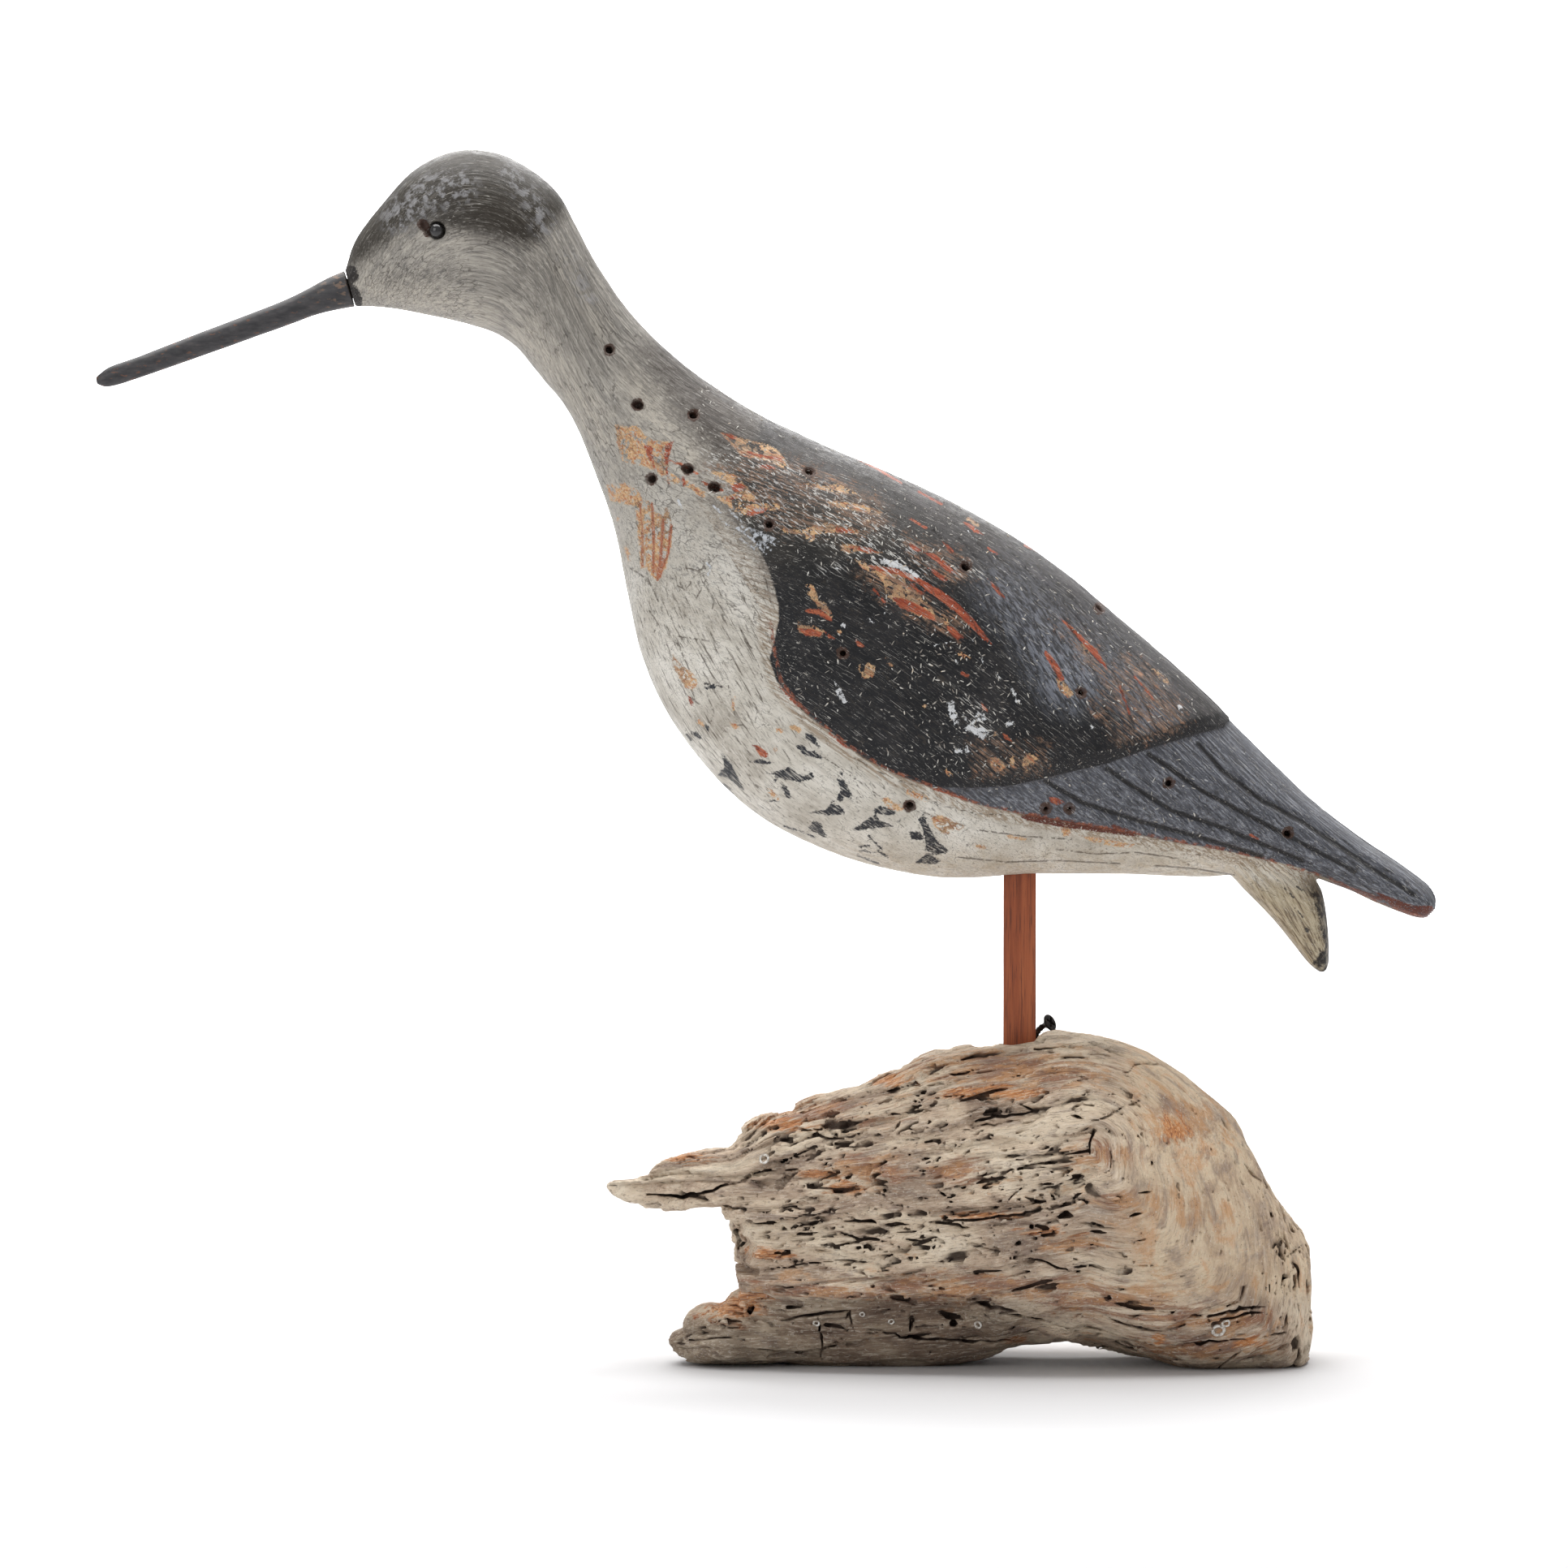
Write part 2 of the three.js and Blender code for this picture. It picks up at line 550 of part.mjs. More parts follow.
function mesh(name, body, color, roughness) {
  const { numProp, vertProperties, triVerts } = body.getMesh();
  const position = new Float32Array((vertProperties.length / numProp) * 3);
  for (let i = 0; i < position.length / 3; i += 1) {
    for (let k = 0; k < 3; k += 1) position[3 * i + k] = vertProperties[i * numProp + k];
  }
  const geometry = new THREE.BufferGeometry();
  geometry.setAttribute('position', new THREE.BufferAttribute(position, 3));
  geometry.setIndex(new THREE.BufferAttribute(new Uint32Array(triVerts), 1));
  geometry.computeVertexNormals();
  const result = new THREE.Mesh(geometry, new THREE.MeshStandardMaterial({ color, roughness }));
  result.name = name;
  return result;
}

// Everything is built about the stick's axis and then moved so that the whole stands
// on the ground with its box centred.
const birdPlace = [-STICK_IN * BIRD_UNIT, 0, SEAT + STICK_SHOWING];
const woodPlace = [-STICK_AT * WOOD_UNIT, 0, 0];
const stick = upright(STICK_SIDE, SEAT - STICK_IN_STAND, SEAT + STICK_SHOWING + STICK_IN_BODY);

const group = new THREE.Group();
group.add(mesh('bird', bird().translate(birdPlace), 0x7c7a76, 0.55));
group.add(mesh('bill', bill().translate(birdPlace), 0x2c2c30, 0.4));
group.add(mesh('eye_left', eye(-1).translate(birdPlace), 0x151518, 0.1));
group.add(mesh('eye_right', eye(1).translate(birdPlace), 0x151518, 0.1));
group.add(mesh('stick', stick, 0x8a4a2e, 0.6));
group.add(mesh('driftwood', driftwood().translate(woodPlace), 0xb5a893, 0.85));
group.add(mesh('wedge_screw', screw(), 0x2a2826, 0.45));

const box = new THREE.Box3().setFromObject(group);
const middle = box.getCenter(new THREE.Vector3());
for (const piece of group.children) piece.geometry.translate(-middle.x, -middle.y, -box.min.z);

export default group;
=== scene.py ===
import math

import bpy
import numpy as np
import openvdb
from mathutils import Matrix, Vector


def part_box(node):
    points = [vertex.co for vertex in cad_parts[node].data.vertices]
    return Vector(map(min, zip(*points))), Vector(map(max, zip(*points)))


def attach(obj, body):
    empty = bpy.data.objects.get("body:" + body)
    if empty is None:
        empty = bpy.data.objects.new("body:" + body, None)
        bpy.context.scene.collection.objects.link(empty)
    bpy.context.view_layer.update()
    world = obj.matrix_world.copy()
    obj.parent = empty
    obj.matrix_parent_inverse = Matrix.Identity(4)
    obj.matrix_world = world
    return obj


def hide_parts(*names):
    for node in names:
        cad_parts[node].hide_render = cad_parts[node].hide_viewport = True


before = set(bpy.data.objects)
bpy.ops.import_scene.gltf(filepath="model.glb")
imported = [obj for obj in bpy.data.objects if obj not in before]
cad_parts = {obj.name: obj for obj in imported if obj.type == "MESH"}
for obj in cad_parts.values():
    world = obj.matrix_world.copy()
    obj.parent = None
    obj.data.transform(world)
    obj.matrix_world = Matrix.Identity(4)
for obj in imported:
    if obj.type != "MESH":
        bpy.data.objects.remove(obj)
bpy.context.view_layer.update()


# THE DRIFTWOOD
# A knee of some reddish wood that floated long enough for ship-worms to eat it, then bleached
# grey. It is bare, with orange heartwood where it broke last, and stands on two low places.

# Lengths are in millimetres until a piece is finished. Places on the front are given as they
# look from the side and 4.5 degrees above, in steps of 4.5 to the millimetre, along and down.
TILT, STEPS = math.radians(4.5), 4.5
STICK_ALONG, FLOOR_DOWN = 1256.5, 1679


def tone(red, green, blue):
    """A colour as the eye matches it, each part out of 255."""
    parts = [v / 255 for v in (red, green, blue)]
    return tuple(v / 12.92 if v < 11 / 255 else ((v + 0.055) / 1.055) ** 2.4 for v in parts)


def box_of(name):
    """The low and the high corner of one of the solids."""
    return [np.array(corner) * 1000 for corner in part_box(name)]


stick_low, stick_high = box_of("stick")
MIDDLE = (stick_low + stick_high) / 2


def as_seen(p):
    along = STICK_ALONG + STEPS * (p[..., 0] - MIDDLE[0])
    down = FLOOR_DOWN - STEPS * (p[..., 2] * math.cos(TILT) + p[..., 1] * math.sin(TILT))
    return along, down


def from_seen(along, down, y):
    x = (along - STICK_ALONG) / STEPS + MIDDLE[0]
    z = ((FLOOR_DOWN - down) / STEPS - y * math.sin(TILT)) / math.cos(TILT)
    return np.array([x, y, z])


def smooth(t):
    k = np.clip(t, 0, 1)
    return k * k * (3 - 2 * k)


def squarish(c, roundness):
    """A sine or cosine for rings that are round at 2 and squarer above."""
    return np.sign(c) * np.abs(c) ** (2 / roundness)


# Large odd numbers that scramble the places of the noise.
SCRAMBLE = [np.uint32(v) for v in (374761393, 668265263, 2246822519, 2654435761, 1103515245)]


def noise(p, seed=0):
    """Soft random bumps, about -1 to 1, one to each unit of p."""
    cell = np.floor(p)
    f = (p - cell).astype(np.float32)
    ease = f * f * f * (f * (f * 6 - 15) + 10)
    c = cell.astype(np.int64).astype(np.uint32)
    total = np.zeros(len(p), np.float32)
    for corner in np.ndindex(2, 2, 2):
        mix = np.full(len(p), seed * 97 + 13, np.uint32)
        for k in range(3):
            mix += (c[:, k] + np.uint32(corner[k])) * SCRAMBLE[k]
        for shift, factor in ((15, SCRAMBLE[3]), (13, SCRAMBLE[4])):
            mix = (mix ^ (mix >> np.uint32(shift))) * factor
        mix ^= mix >> np.uint32(16)
        lean, share = np.zeros(len(p), np.float32), np.ones(len(p), np.float32)
        for k in range(3):
            slope = ((mix >> np.uint32(10 * k)) & np.uint32(1023)).astype(np.float32) / 511.5 - 1
            lean += slope * (f[:, k] - corner[k])
            share *= ease[:, k] if corner[k] else 1 - ease[:, k]
        total += lean * share
    return total * 1.5


def bend_through(points, t):
    """The smooth curve that the solids use, at t from 0 to 1."""
    p = np.asarray(points, float)
    last = len(p) - 1
    i = np.clip(np.floor(t * last).astype(int), 0, last - 1)
    w = (t * last - i)[:, None]
    p = np.vstack([2 * p[0] - p[1], p, 2 * p[-1] - p[-2]])
    a, b, c, d = p[i], p[i + 1], p[i + 2], p[i + 3]
    gap = lambda u, v: np.maximum(((u - v) ** 2).sum(1) ** 0.25, 1e-4)[:, None]
    ab, bc, cd = gap(a, b), gap(b, c), gap(c, d)
    start = ((b - a) / ab - (c - a) / (ab + bc) + (c - b) / bc) * bc
    end = ((c - b) / bc - (d - b) / (bc + cd) + (d - c) / cd) * bc
    return b + start * w + (3 * (c - b) - 2 * start - end) * w**2 + (2 * (b - c) + start + end) * w**3


def skin(rings):
    """Points, quads and end triangles over a row of rings."""
    count, n, _ = rings.shape
    points = rings.reshape(-1, 3)
    i, j = np.meshgrid(np.arange(count - 1), np.arange(n), indexing="ij")
    a, b = (i * n + j).ravel(), (i * n + (j + 1) % n).ravel()
    quads = np.stack([a, b, b + n, a + n], 1)
    j = np.arange(n)
    first = np.stack([(j + 1) % n, j, np.full(n, count * n)], 1)
    end = np.stack([j, (j + 1) % n, np.full(n, count * n + 1)], 1)
    end[:, :2] += (count - 1) * n
    points = np.vstack([points, rings[0].mean(0), rings[-1].mean(0)])
    return points, quads, np.vstack([first, end])


class Blank:
    """A block of wood, kept as the distance to its surface on a fine grid so that it can be carved."""

    def __init__(self, skins, cell, reach=4.0):
        self.cell, self.reach = cell, reach
        points, quads, ends, n = [], [], [], 0
        for p, q, e in skins:
            points.append(p)
            quads.append(q + n)
            ends.append(e + n)
            n += len(p)
        grid = openvdb.FloatGrid.createLevelSetFromPolygons(
            np.vstack(points).astype(np.float32), triangles=np.vstack(ends).astype(np.uint32),
            quads=np.vstack(quads).astype(np.uint32),
            transform=openvdb.createLinearTransform(voxelSize=cell), halfWidth=reach / cell)
        low, high = grid.evalActiveVoxelBoundingBox()
        self.low = np.array(low)
        self.depth = np.zeros(np.array(high) - self.low + 1, np.float32)
        grid.copyToArray(self.depth, ijk=low)

    def room(self, low, high):
        """The part of the grid between two corners, and the places of its cells."""
        first = np.maximum(np.floor(np.asarray(low) / self.cell).astype(int) - self.low, 0)
        last = np.minimum(np.ceil(np.asarray(high) / self.cell).astype(int) - self.low + 1, self.depth.shape)
        last = np.maximum(last, first)
        part = tuple(slice(a, b) for a, b in zip(first, last))
        axes = [(np.arange(a, b) + c) * self.cell for a, b, c in zip(first, last, self.low)]
        return self.depth[part], np.stack(np.meshgrid(*axes, indexing="ij"), -1)

    def gouge(self, a, b, at_a, at_b, flat=(1, 1, 1)):
        """Cuts a round-ended channel from a to b; flat stretches the cutter along an axis."""
        a, b, flat = np.asarray(a, float), np.asarray(b, float), np.asarray(flat, float)
        wide = max(at_a, at_b) * flat + 2 * self.cell
        depth, p = self.room(np.minimum(a, b) - wide, np.maximum(a, b) + wide)
        if depth.size == 0:
            return
        run = (b - a) / flat
        off = (p - a) / flat
        t = np.clip(off @ run / max(run @ run, 1e-9), 0, 1)
        tool = at_a + (at_b - at_a) * t - np.sqrt(((off - t[..., None] * run) ** 2).sum(-1))
        np.maximum(depth, tool, out=depth)

    def sample(self, p):
        """The distance at any points, below zero inside."""
        at = np.clip(p / self.cell - self.low, 0, np.array(self.depth.shape) - 1.001)
        i = np.floor(at).astype(int)
        f = at - i
        total = 0
        for corner in np.ndindex(2, 2, 2):
            share = np.prod(np.where(corner, f, 1 - f), 1)
            total += share * self.depth[tuple((i + corner).T)]
        return total

    def slope(self, p):
        """The way out of the block at any points, from how the distance changes there."""
        rise = np.stack([self.sample(p + step) - self.sample(p - step) for step in np.eye(3) * self.cell], 1)
        return rise / np.maximum(np.linalg.norm(rise, axis=1, keepdims=True), 1e-9)

    def places(self, cells):
        """Where cells lie that are counted through the whole grid."""
        return (np.stack(np.unravel_index(cells, self.depth.shape), 1) + self.low) * self.cell

    def over_surface(self, within, value_at):
        """The cells near the surface, and for each a value worked out where it meets the surface."""
        depths = self.depth.ravel()
        band = np.flatnonzero(np.abs(depths) < within)
        rise = np.stack([slope.ravel()[band] for slope in np.gradient(self.depth)], 1)
        rise /= np.maximum(np.linalg.norm(rise, axis=1, keepdims=True), 1e-9)
        cell = np.stack(np.unravel_index(band, self.depth.shape), 1)
        foot = np.rint(cell - rise * (depths[band] / self.cell)[:, None]).astype(int)
        foot = np.clip(foot, 0, np.array(self.depth.shape) - 1)
        foot, back = np.unique(np.ravel_multi_index(foot.T, self.depth.shape), return_inverse=True)
        return band, value_at(self.places(foot))[back]

    def surface(self):
        grid = openvdb.FloatGrid(self.reach)
        grid.transform = openvdb.createLinearTransform(voxelSize=self.cell)
        grid.copyFromArray(self.depth, ijk=tuple(int(v) for v in self.low), tolerance=0.0)
        points, _, quads = grid.convertToPolygons(isovalue=0.0, adaptivity=0.0)
        points, quads = points.astype(float), quads.astype(np.int64)
        a, b, c = (points[quads[:, k]] for k in (0, 1, 2))
        if (a * np.cross(b, c)).sum() < 0:
            quads = quads[:, ::-1]
        return points, quads


def average_around(values, quads):
    """For each corner of a mesh, the mean of its neighbours' values."""
    a, b = quads.ravel(), np.roll(quads, -1, 1).ravel()
    both, other = np.concatenate([a, b]), np.concatenate([b, a])
    n = len(values)
    count = np.maximum(np.bincount(both, minlength=n), 1)
    values = values.reshape(n, -1)
    return np.stack([np.bincount(both, values[other, k], n) / count for k in range(values.shape[1])], 1)


def soften(points, quads, times):
    for _ in range(times):
        points = 0.5 * points + 0.5 * average_around(points, quads)
    return points


def outward(points, faces):
    """Unit vectors that point out of the surface at its corners."""
    across = points[faces[:, 2]] - points[faces[:, 0]]
    along = points[faces[:, -1]] - points[faces[:, 1]]
    normal = np.cross(across, along)
    total = np.stack([sum(np.bincount(faces[:, j], normal[:, k], len(points))
                          for j in range(faces.shape[1])) for k in range(3)], 1)
    return total / np.maximum(np.linalg.norm(total, axis=1, keepdims=True), 1e-12)


def bulge(points, quads, times=8):
    """How far each corner stands out of its surroundings, in millimetres; hollows are below zero."""
    return ((points - soften(points, quads, times)) * outward(points, quads)).sum(1)


def make_mesh(name, points, faces):
    mesh = bpy.data.meshes.new(name)
    mesh.vertices.add(len(points))
    mesh.vertices.foreach_set("co", np.ascontiguousarray(points / 1000, np.float32).ravel())
    mesh.loops.add(faces.size)
    mesh.loops.foreach_set("vertex_index", np.ascontiguousarray(faces, np.int32).ravel())
    mesh.polygons.add(len(faces))
    mesh.polygons.foreach_set("loop_start", np.arange(0, faces.size, faces.shape[1], dtype=np.int32))
    mesh.update(calc_edges=True)
    mesh.validate()
    return mesh


def paint_on(mesh, name, values):
    """Keeps one number, or one vector, for each corner of the mesh, for its material to read."""
    values = np.asarray(values, np.float32)
    kind, field = ("FLOAT", "value") if values.ndim == 1 else ("FLOAT_VECTOR", "vector")
    layer = mesh.attributes.get(name) or mesh.attributes.new(name, kind, "POINT")
    layer.data.foreach_set(field, values.ravel())


def corners_of(mesh):
    points = np.zeros(len(mesh.vertices) * 3, np.float32)
    mesh.vertices.foreach_get("co", points)
    return points.reshape(-1, 3).astype(float) * 1000


def put_in_scene(name, data):
    thing = bpy.data.objects.new(name, data)
    bpy.context.scene.collection.objects.link(thing)
    return thing


def keep_result(piece):
    """Works out the piece's modifiers and keeps the plain mesh that they make."""
    evaluated = piece.evaluated_get(bpy.context.evaluated_depsgraph_get())
    result = bpy.data.meshes.new_from_object(evaluated)
    piece.modifiers.clear()
    piece.data = result
    result.name = piece.name
    return piece


MOST_TRIANGLES, NEAR_IS_KEPT = 195000, 0.00002


def thin_out(name, mesh, most, near_is_kept=0.0):
    """The finished object, with its plain places in larger triangles, at most so many in all.
    The side away from the camera gives up its small triangles first."""
    piece = put_in_scene(name, mesh)
    triangles = sum(len(p.vertices) - 2 for p in mesh.polygons)
    thinner = piece.modifiers.new("thinner", "DECIMATE")
    thinner.ratio = min(1.0, most / triangles)
    if near_is_kept:
        far = corners_of(mesh)[:, 1] > MIDDLE[1] + 1
        free = piece.vertex_groups.new(name="free to thin")
        free.add(np.flatnonzero(far).tolist(), 1.0, "REPLACE")
        free.add(np.flatnonzero(~far).tolist(), 1.0 - near_is_kept, "REPLACE")
        thinner.vertex_group = free.name
        thinner.vertex_group_factor = 1.0
    keep_result(piece).data.shade_smooth()
    bpy.data.meshes.remove(mesh)
    return piece


def inside(x, z, outline):
    """Whether places lie inside a closed outline."""
    hit = np.zeros(x.shape, bool)
    for (ax, az), (bx, bz) in zip(outline, outline[1:] + outline[:1]):
        crosses = (az > z) != (bz > z)
        hit ^= crosses & (x < (bx - ax) * (z - az) / (bz - az + 1e-12) + ax)
    return hit


def strokes(seen, marks):
    """How far inside the nearest stroke each place is, in millimetres. A stroke is its width and
    its points, as seen from the side."""
    along, down = seen
    best = np.full(along.shape, -99.0)
    for wide, *points in marks:
        points = points * 2 if len(points) == 1 else points
        for (ax, ay), (bx, by) in zip(points, points[1:]):
            ux, uy = bx - ax, by - ay
            t = np.clip(((along - ax) * ux + (down - ay) * uy) / max(ux * ux + uy * uy, 1e-9), 0, 1)
            best = np.maximum(best, wide / 2 - np.hypot(along - ax - t * ux, down - ay - t * uy))
    return best / STEPS


def patches(seen, outlines):
    """The same for painted or bare patches, each given by its closed outline."""
    best = np.full(seen[0].shape, -99.0)
    for outline in outlines:
        gap = -strokes(seen, [(0, *outline, outline[0])])
        best = np.maximum(best, np.where(inside(*seen, outline), gap, -gap))
    return best


WOOD_LENGTH, WOOD_DEPTH, WOOD_ROUNDNESS, STICK_AT = 193, 88, 2.5, 58.6
WOOD_UNIT, DEPTH_UNIT = WOOD_LENGTH / 100, WOOD_DEPTH / (2 * 23.6)
# Hundredths of the length: along, top, underside, half the depth.
WOOD = [
    [17.7, 31.0, 0.5, 15.0], [20.0, 34.5, 0.6, 16.3], [26.0, 36.8, -0.5, 17.6], [32.3, 39.2, -1.0, 18.9],
    [38.7, 41.4, -1.2, 19.9], [45.2, 44.4, -1.0, 21.0], [51.6, 46.0, 0.2, 21.7], [58.5, 46.2, 2.6, 22.6],
    [64.5, 47.9, 2.9, 23.4], [71.0, 47.0, 2.1, 23.6], [77.4, 44.6, 0.6, 23.3], [83.9, 40.4, -1.1, 22.4],
    [88.7, 36.2, -1.2, 20.8], [91.9, 30.8, -1.1, 19.2], [95.2, 24.6, -1.3, 17.2], [98.4, 19.6, -0.8, 13.7],
    [100.6, 15.5, 1.5, 9.4]]
UPPER_PRONG = [
    [-0.6, 26.0, 23.5, 2.4], [2.5, 27.2, 22.6, 4.2], [6.5, 28.6, 21.6, 6.0], [10.6, 30.4, 21.2, 8.6],
    [17.5, 31.6, 21.6, 12.2], [22.1, 32.0, 22.0, 13.0], [28.0, 31.0, 24.0, 11.0]]
LOWER_PRONG = [
    [8.6, 5.6, 2.2, 2.6], [10.2, 7.6, 1.0, 5.6], [12.0, 9.2, 0.4, 7.8], [14.5, 9.8, 0.2, 10.2],
    [18.0, 11.5, 0.0, 12.6], [21.5, 13.0, 0.0, 13.6], [27.0, 11.0, 0.5, 12.6], [34.0, 8.5, 1.0, 9.0]]
# The block's outline as it is seen, round from the tip of the upper prong.
OUTLINE = [
    (747, 1461), (750, 1457), (757, 1455), (783, 1454), (790, 1450), (799, 1449), (801, 1444), (806, 1438),
    (815, 1431), (835, 1425), (860, 1419), (885, 1415), (898, 1416), (905, 1411), (910, 1402), (916, 1398),
    (913, 1391), (918, 1386), (928, 1379), (937, 1375), (950, 1372), (961, 1374), (967, 1372), (978, 1371),
    (981, 1361), (990, 1355), (1005, 1350), (1025, 1348), (1040, 1343), (1058, 1340), (1072, 1333),
    (1085, 1325), (1100, 1320), (1110, 1319), (1125, 1308), (1140, 1299), (1152, 1295), (1170, 1295),
    (1180, 1290), (1195, 1288), (1206, 1293), (1215, 1290), (1224, 1291), (1232, 1287), (1248, 1288),
    (1275, 1283), (1290, 1272), (1300, 1270), (1330, 1274), (1360, 1279), (1390, 1287), (1415, 1297),
    (1440, 1312), (1460, 1325), (1480, 1342), (1500, 1358), (1515, 1371), (1523, 1380), (1530, 1393),
    (1535, 1408), (1543, 1420), (1560, 1455), (1573, 1478), (1597, 1508), (1607, 1522), (1613, 1538),
    (1616, 1560), (1615, 1600), (1617, 1630), (1616, 1650), (1611, 1670), (1604, 1682), (1592, 1690),
    (1577, 1694), (1562, 1691), (1550, 1684), (1540, 1681), (1525, 1684), (1505, 1691), (1455, 1691),
    (1425, 1684), (1400, 1679), (1340, 1668), (1300, 1662), (1262, 1660), (1248, 1663), (1236, 1671),
    (1215, 1679), (1190, 1684), (1160, 1691), (1100, 1693), (1020, 1692), (950, 1688), (920, 1686),
    (910, 1682), (900, 1679), (870, 1678), (850, 1676), (838, 1671), (830, 1664), (825, 1656), (824, 1650),
    (828, 1644), (836, 1640), (842, 1638), (842, 1630), (847, 1620), (856, 1613), (866, 1608), (876, 1607),
    (884, 1609), (893, 1606), (897, 1600), (905, 1593), (913, 1589), (910, 1582), (908, 1570), (905, 1555),
    (902, 1540), (897, 1520), (892, 1500), (889, 1485), (870, 1486), (852, 1487), (845, 1491), (818, 1492),
    (814, 1488), (796, 1488), (787, 1482), (775, 1482), (762, 1476), (753, 1470)]


def wood_form(rows, steps, shift=0.0, lean=0.0):
    """The solids' own lumpy rings, closer together."""
    rows = np.array(rows)
    t = np.linspace(0, 1, (len(rows) - 1) * steps + 1)
    form = bend_through(rows[:, :3], t)
    half = bend_through(rows[:, [0, 3, 1]] * [1, 1, 0], t)[:, 1]
    x, middle, height = form[:, :1], (form[:, 1:2] + form[:, 2:]) / 2, (form[:, 1:2] - form[:, 2:]) / 2
    angle = np.linspace(0, 2 * math.pi, 240, endpoint=False)[None, :]
    z = middle + height * squarish(np.cos(angle), WOOD_ROUNDNESS)
    lump = (1 + 0.05 * np.sin(0.07 * x + 2 * angle + 0.6) + 0.035 * np.sin(0.05 * x - 3 * angle)
            + 0.02 * np.sin(0.19 * x + 5 * angle))
    y = half[:, None] * squarish(np.sin(angle), WOOD_ROUNDNESS) * lump + shift
    under = smooth((11.5 - z) / 0.5) * smooth((57 - x) / 6) * smooth((x - 16) / 4)
    y = np.where(y < 0, y * (1 - 0.16 * under), y)
    slope = lean * (1 - smooth((x - rows[0, 0]) / 14))
    x = x - slope * (np.minimum(z, 20) - 16)
    place = np.stack([x * WOOD_UNIT, y * DEPTH_UNIT, z * WOOD_UNIT], -1)
    return skin(place + [MIDDLE[0] - STICK_AT * WOOD_UNIT, MIDDLE[1], 0])


# The grain runs from the left end, turns round a core and comes back along the underside.
CORE = [(700, 1464), (850, 1458), (1000, 1456), (1150, 1446), (1260, 1430), (1340, 1415)]
# How far the outline lies from the core, above it by the place along, and round its end by the turn.
REACH_ABOVE = ([700, 750, 850, 902, 950, 1000, 1100, 1150, 1250, 1340],
               [20, 26, 45, 50, 86, 106, 133, 150, 158, 145])
REACH_ROUND, REACH_BELOW = ([0, 45, 90, 135, 180], [145, 152, 205, 340, 250]), 250


def ring_height(along, down):
    """Distance from the core, in millimetres, evened out so that the outline is one grain line."""
    best = np.full(along.shape, 1e9)
    reach = np.full(along.shape, float(REACH_BELOW))
    for (ax, ay), (bx, by) in zip(CORE, CORE[1:]):
        ux, uy = bx - ax, by - ay
        t = np.clip(((along - ax) * ux + (down - ay) * uy) / (ux * ux + uy * uy), 0, 1)
        qx, qy = ax + t * ux, ay + t * uy
        gap = np.hypot(along - qx, down - qy)
        nearer = gap < best
        best = np.where(nearer, gap, best)
        here = np.where(down < qy, np.interp(qx, *REACH_ABOVE), REACH_BELOW)
        reach = np.where(nearer, here, reach)
    ex, ey = CORE[-1]
    turn = np.degrees(np.arctan2(along - ex, ey - down))
    reach = np.where((along > ex) & (turn >= 0), np.interp(turn, *REACH_ROUND), reach)
    return best / reach * (33 + 20 * smooth((reach - 140) / 110))


def grain(p):
    """Where a place lies in the wood's own grain: slowly along it, quickly across it."""
    h = ring_height(*as_seen(p))
    return np.stack([p[:, 0] + 0.7 * p[:, 2], h, p[:, 1]], 1)


def grain_direction(p):
    along, down = as_seen(p)
    dx = ring_height(along + 4, down) - ring_height(along - 4, down)
    dz = -(ring_height(along, down + 4) - ring_height(along, down - 4))
    direction = np.stack([dz, np.zeros(len(p)), -dx], 1)
    direction[direction[:, 0] < 0] *= -1
    return direction / np.maximum(np.linalg.norm(direction, axis=1, keepdims=True), 1e-9)


CELL = 0.4
wood = Blank([wood_form(WOOD, 10, lean=0.22), wood_form(UPPER_PRONG, 12, shift=-3),
              wood_form(LOWER_PRONG, 12, shift=-2)], CELL, reach=6.0)

# The broken end is cut slantwise with a ragged edge, and has a deep hollow in it.
near_lip = from_seen(929, 1530, -30)
depth, q = wood.room(near_lip + [-16, -30, -9.5], near_lip + [8, 60, 8.2])
ragged = 0.5 * np.sin(q[..., 2] / 1.3) + 0.4 * np.sin(q[..., 2] / 0.55 + 1)
lip = near_lip[0] + ragged + 0.10 * (near_lip[2] - q[..., 2]) - 0.21 * (q[..., 1] + 30) - q[..., 0]
tall = np.minimum(q[..., 2] - (near_lip[2] - 8.5), near_lip[2] + 5.8 - q[..., 2])
np.maximum(depth, np.minimum(lip, 0.8 * tall), out=depth)

# The joints of the block and its prongs are rounded off, each in its own room.
for low, high in (((-48, -45, 0), (-28, 45, 30)), ((-30, -45, 38), (-14, 45, 62))):
    depth, _ = wood.room(low, high)
    for axis in [0, 2, 0, 2, 1] * 3:
        middle = np.moveaxis(depth, axis, 0)
        middle[2:-2] = (middle[:-4] + middle[1:-3] + middle[2:-2] + middle[3:-1] + middle[4:]) / 5

# Weathering, as heights of the surface: layers that broke away in steps, with ledges that face
# down, soft waves, and a few big forms where they are seen.
LAYER_THICKNESS, LAYER_HEIGHT, WAVE_HEIGHT, RIDGE_HEIGHT, VALLEY_DEPTH = 6.5, 2.0, 1.1, 1.6, 1.8
RIDGES = [
    (22, (905, 1491), (960, 1492), (1020, 1491), (1062, 1484)), (26, (955, 1584), (1060, 1583),
    (1190, 1588)), (16, (850, 1479), (892, 1477)), (14, (1296, 1484), (1330, 1478))]
VALLEYS = [
    (26, (1068, 1505), (1120, 1512), (1180, 1508)), (22, (1150, 1490), (1280, 1484)), (20, (1080, 1380),
    (1130, 1362)), (24, (1200, 1380), (1280, 1368)), (24, (1300, 1470), (1345, 1440)), (14, (870, 1634),
    (912, 1634)), (30, (1130, 1625), (1180, 1622)), (18, (1300, 1650), (1400, 1658)), (12, (835, 1643),
    (880, 1640))]


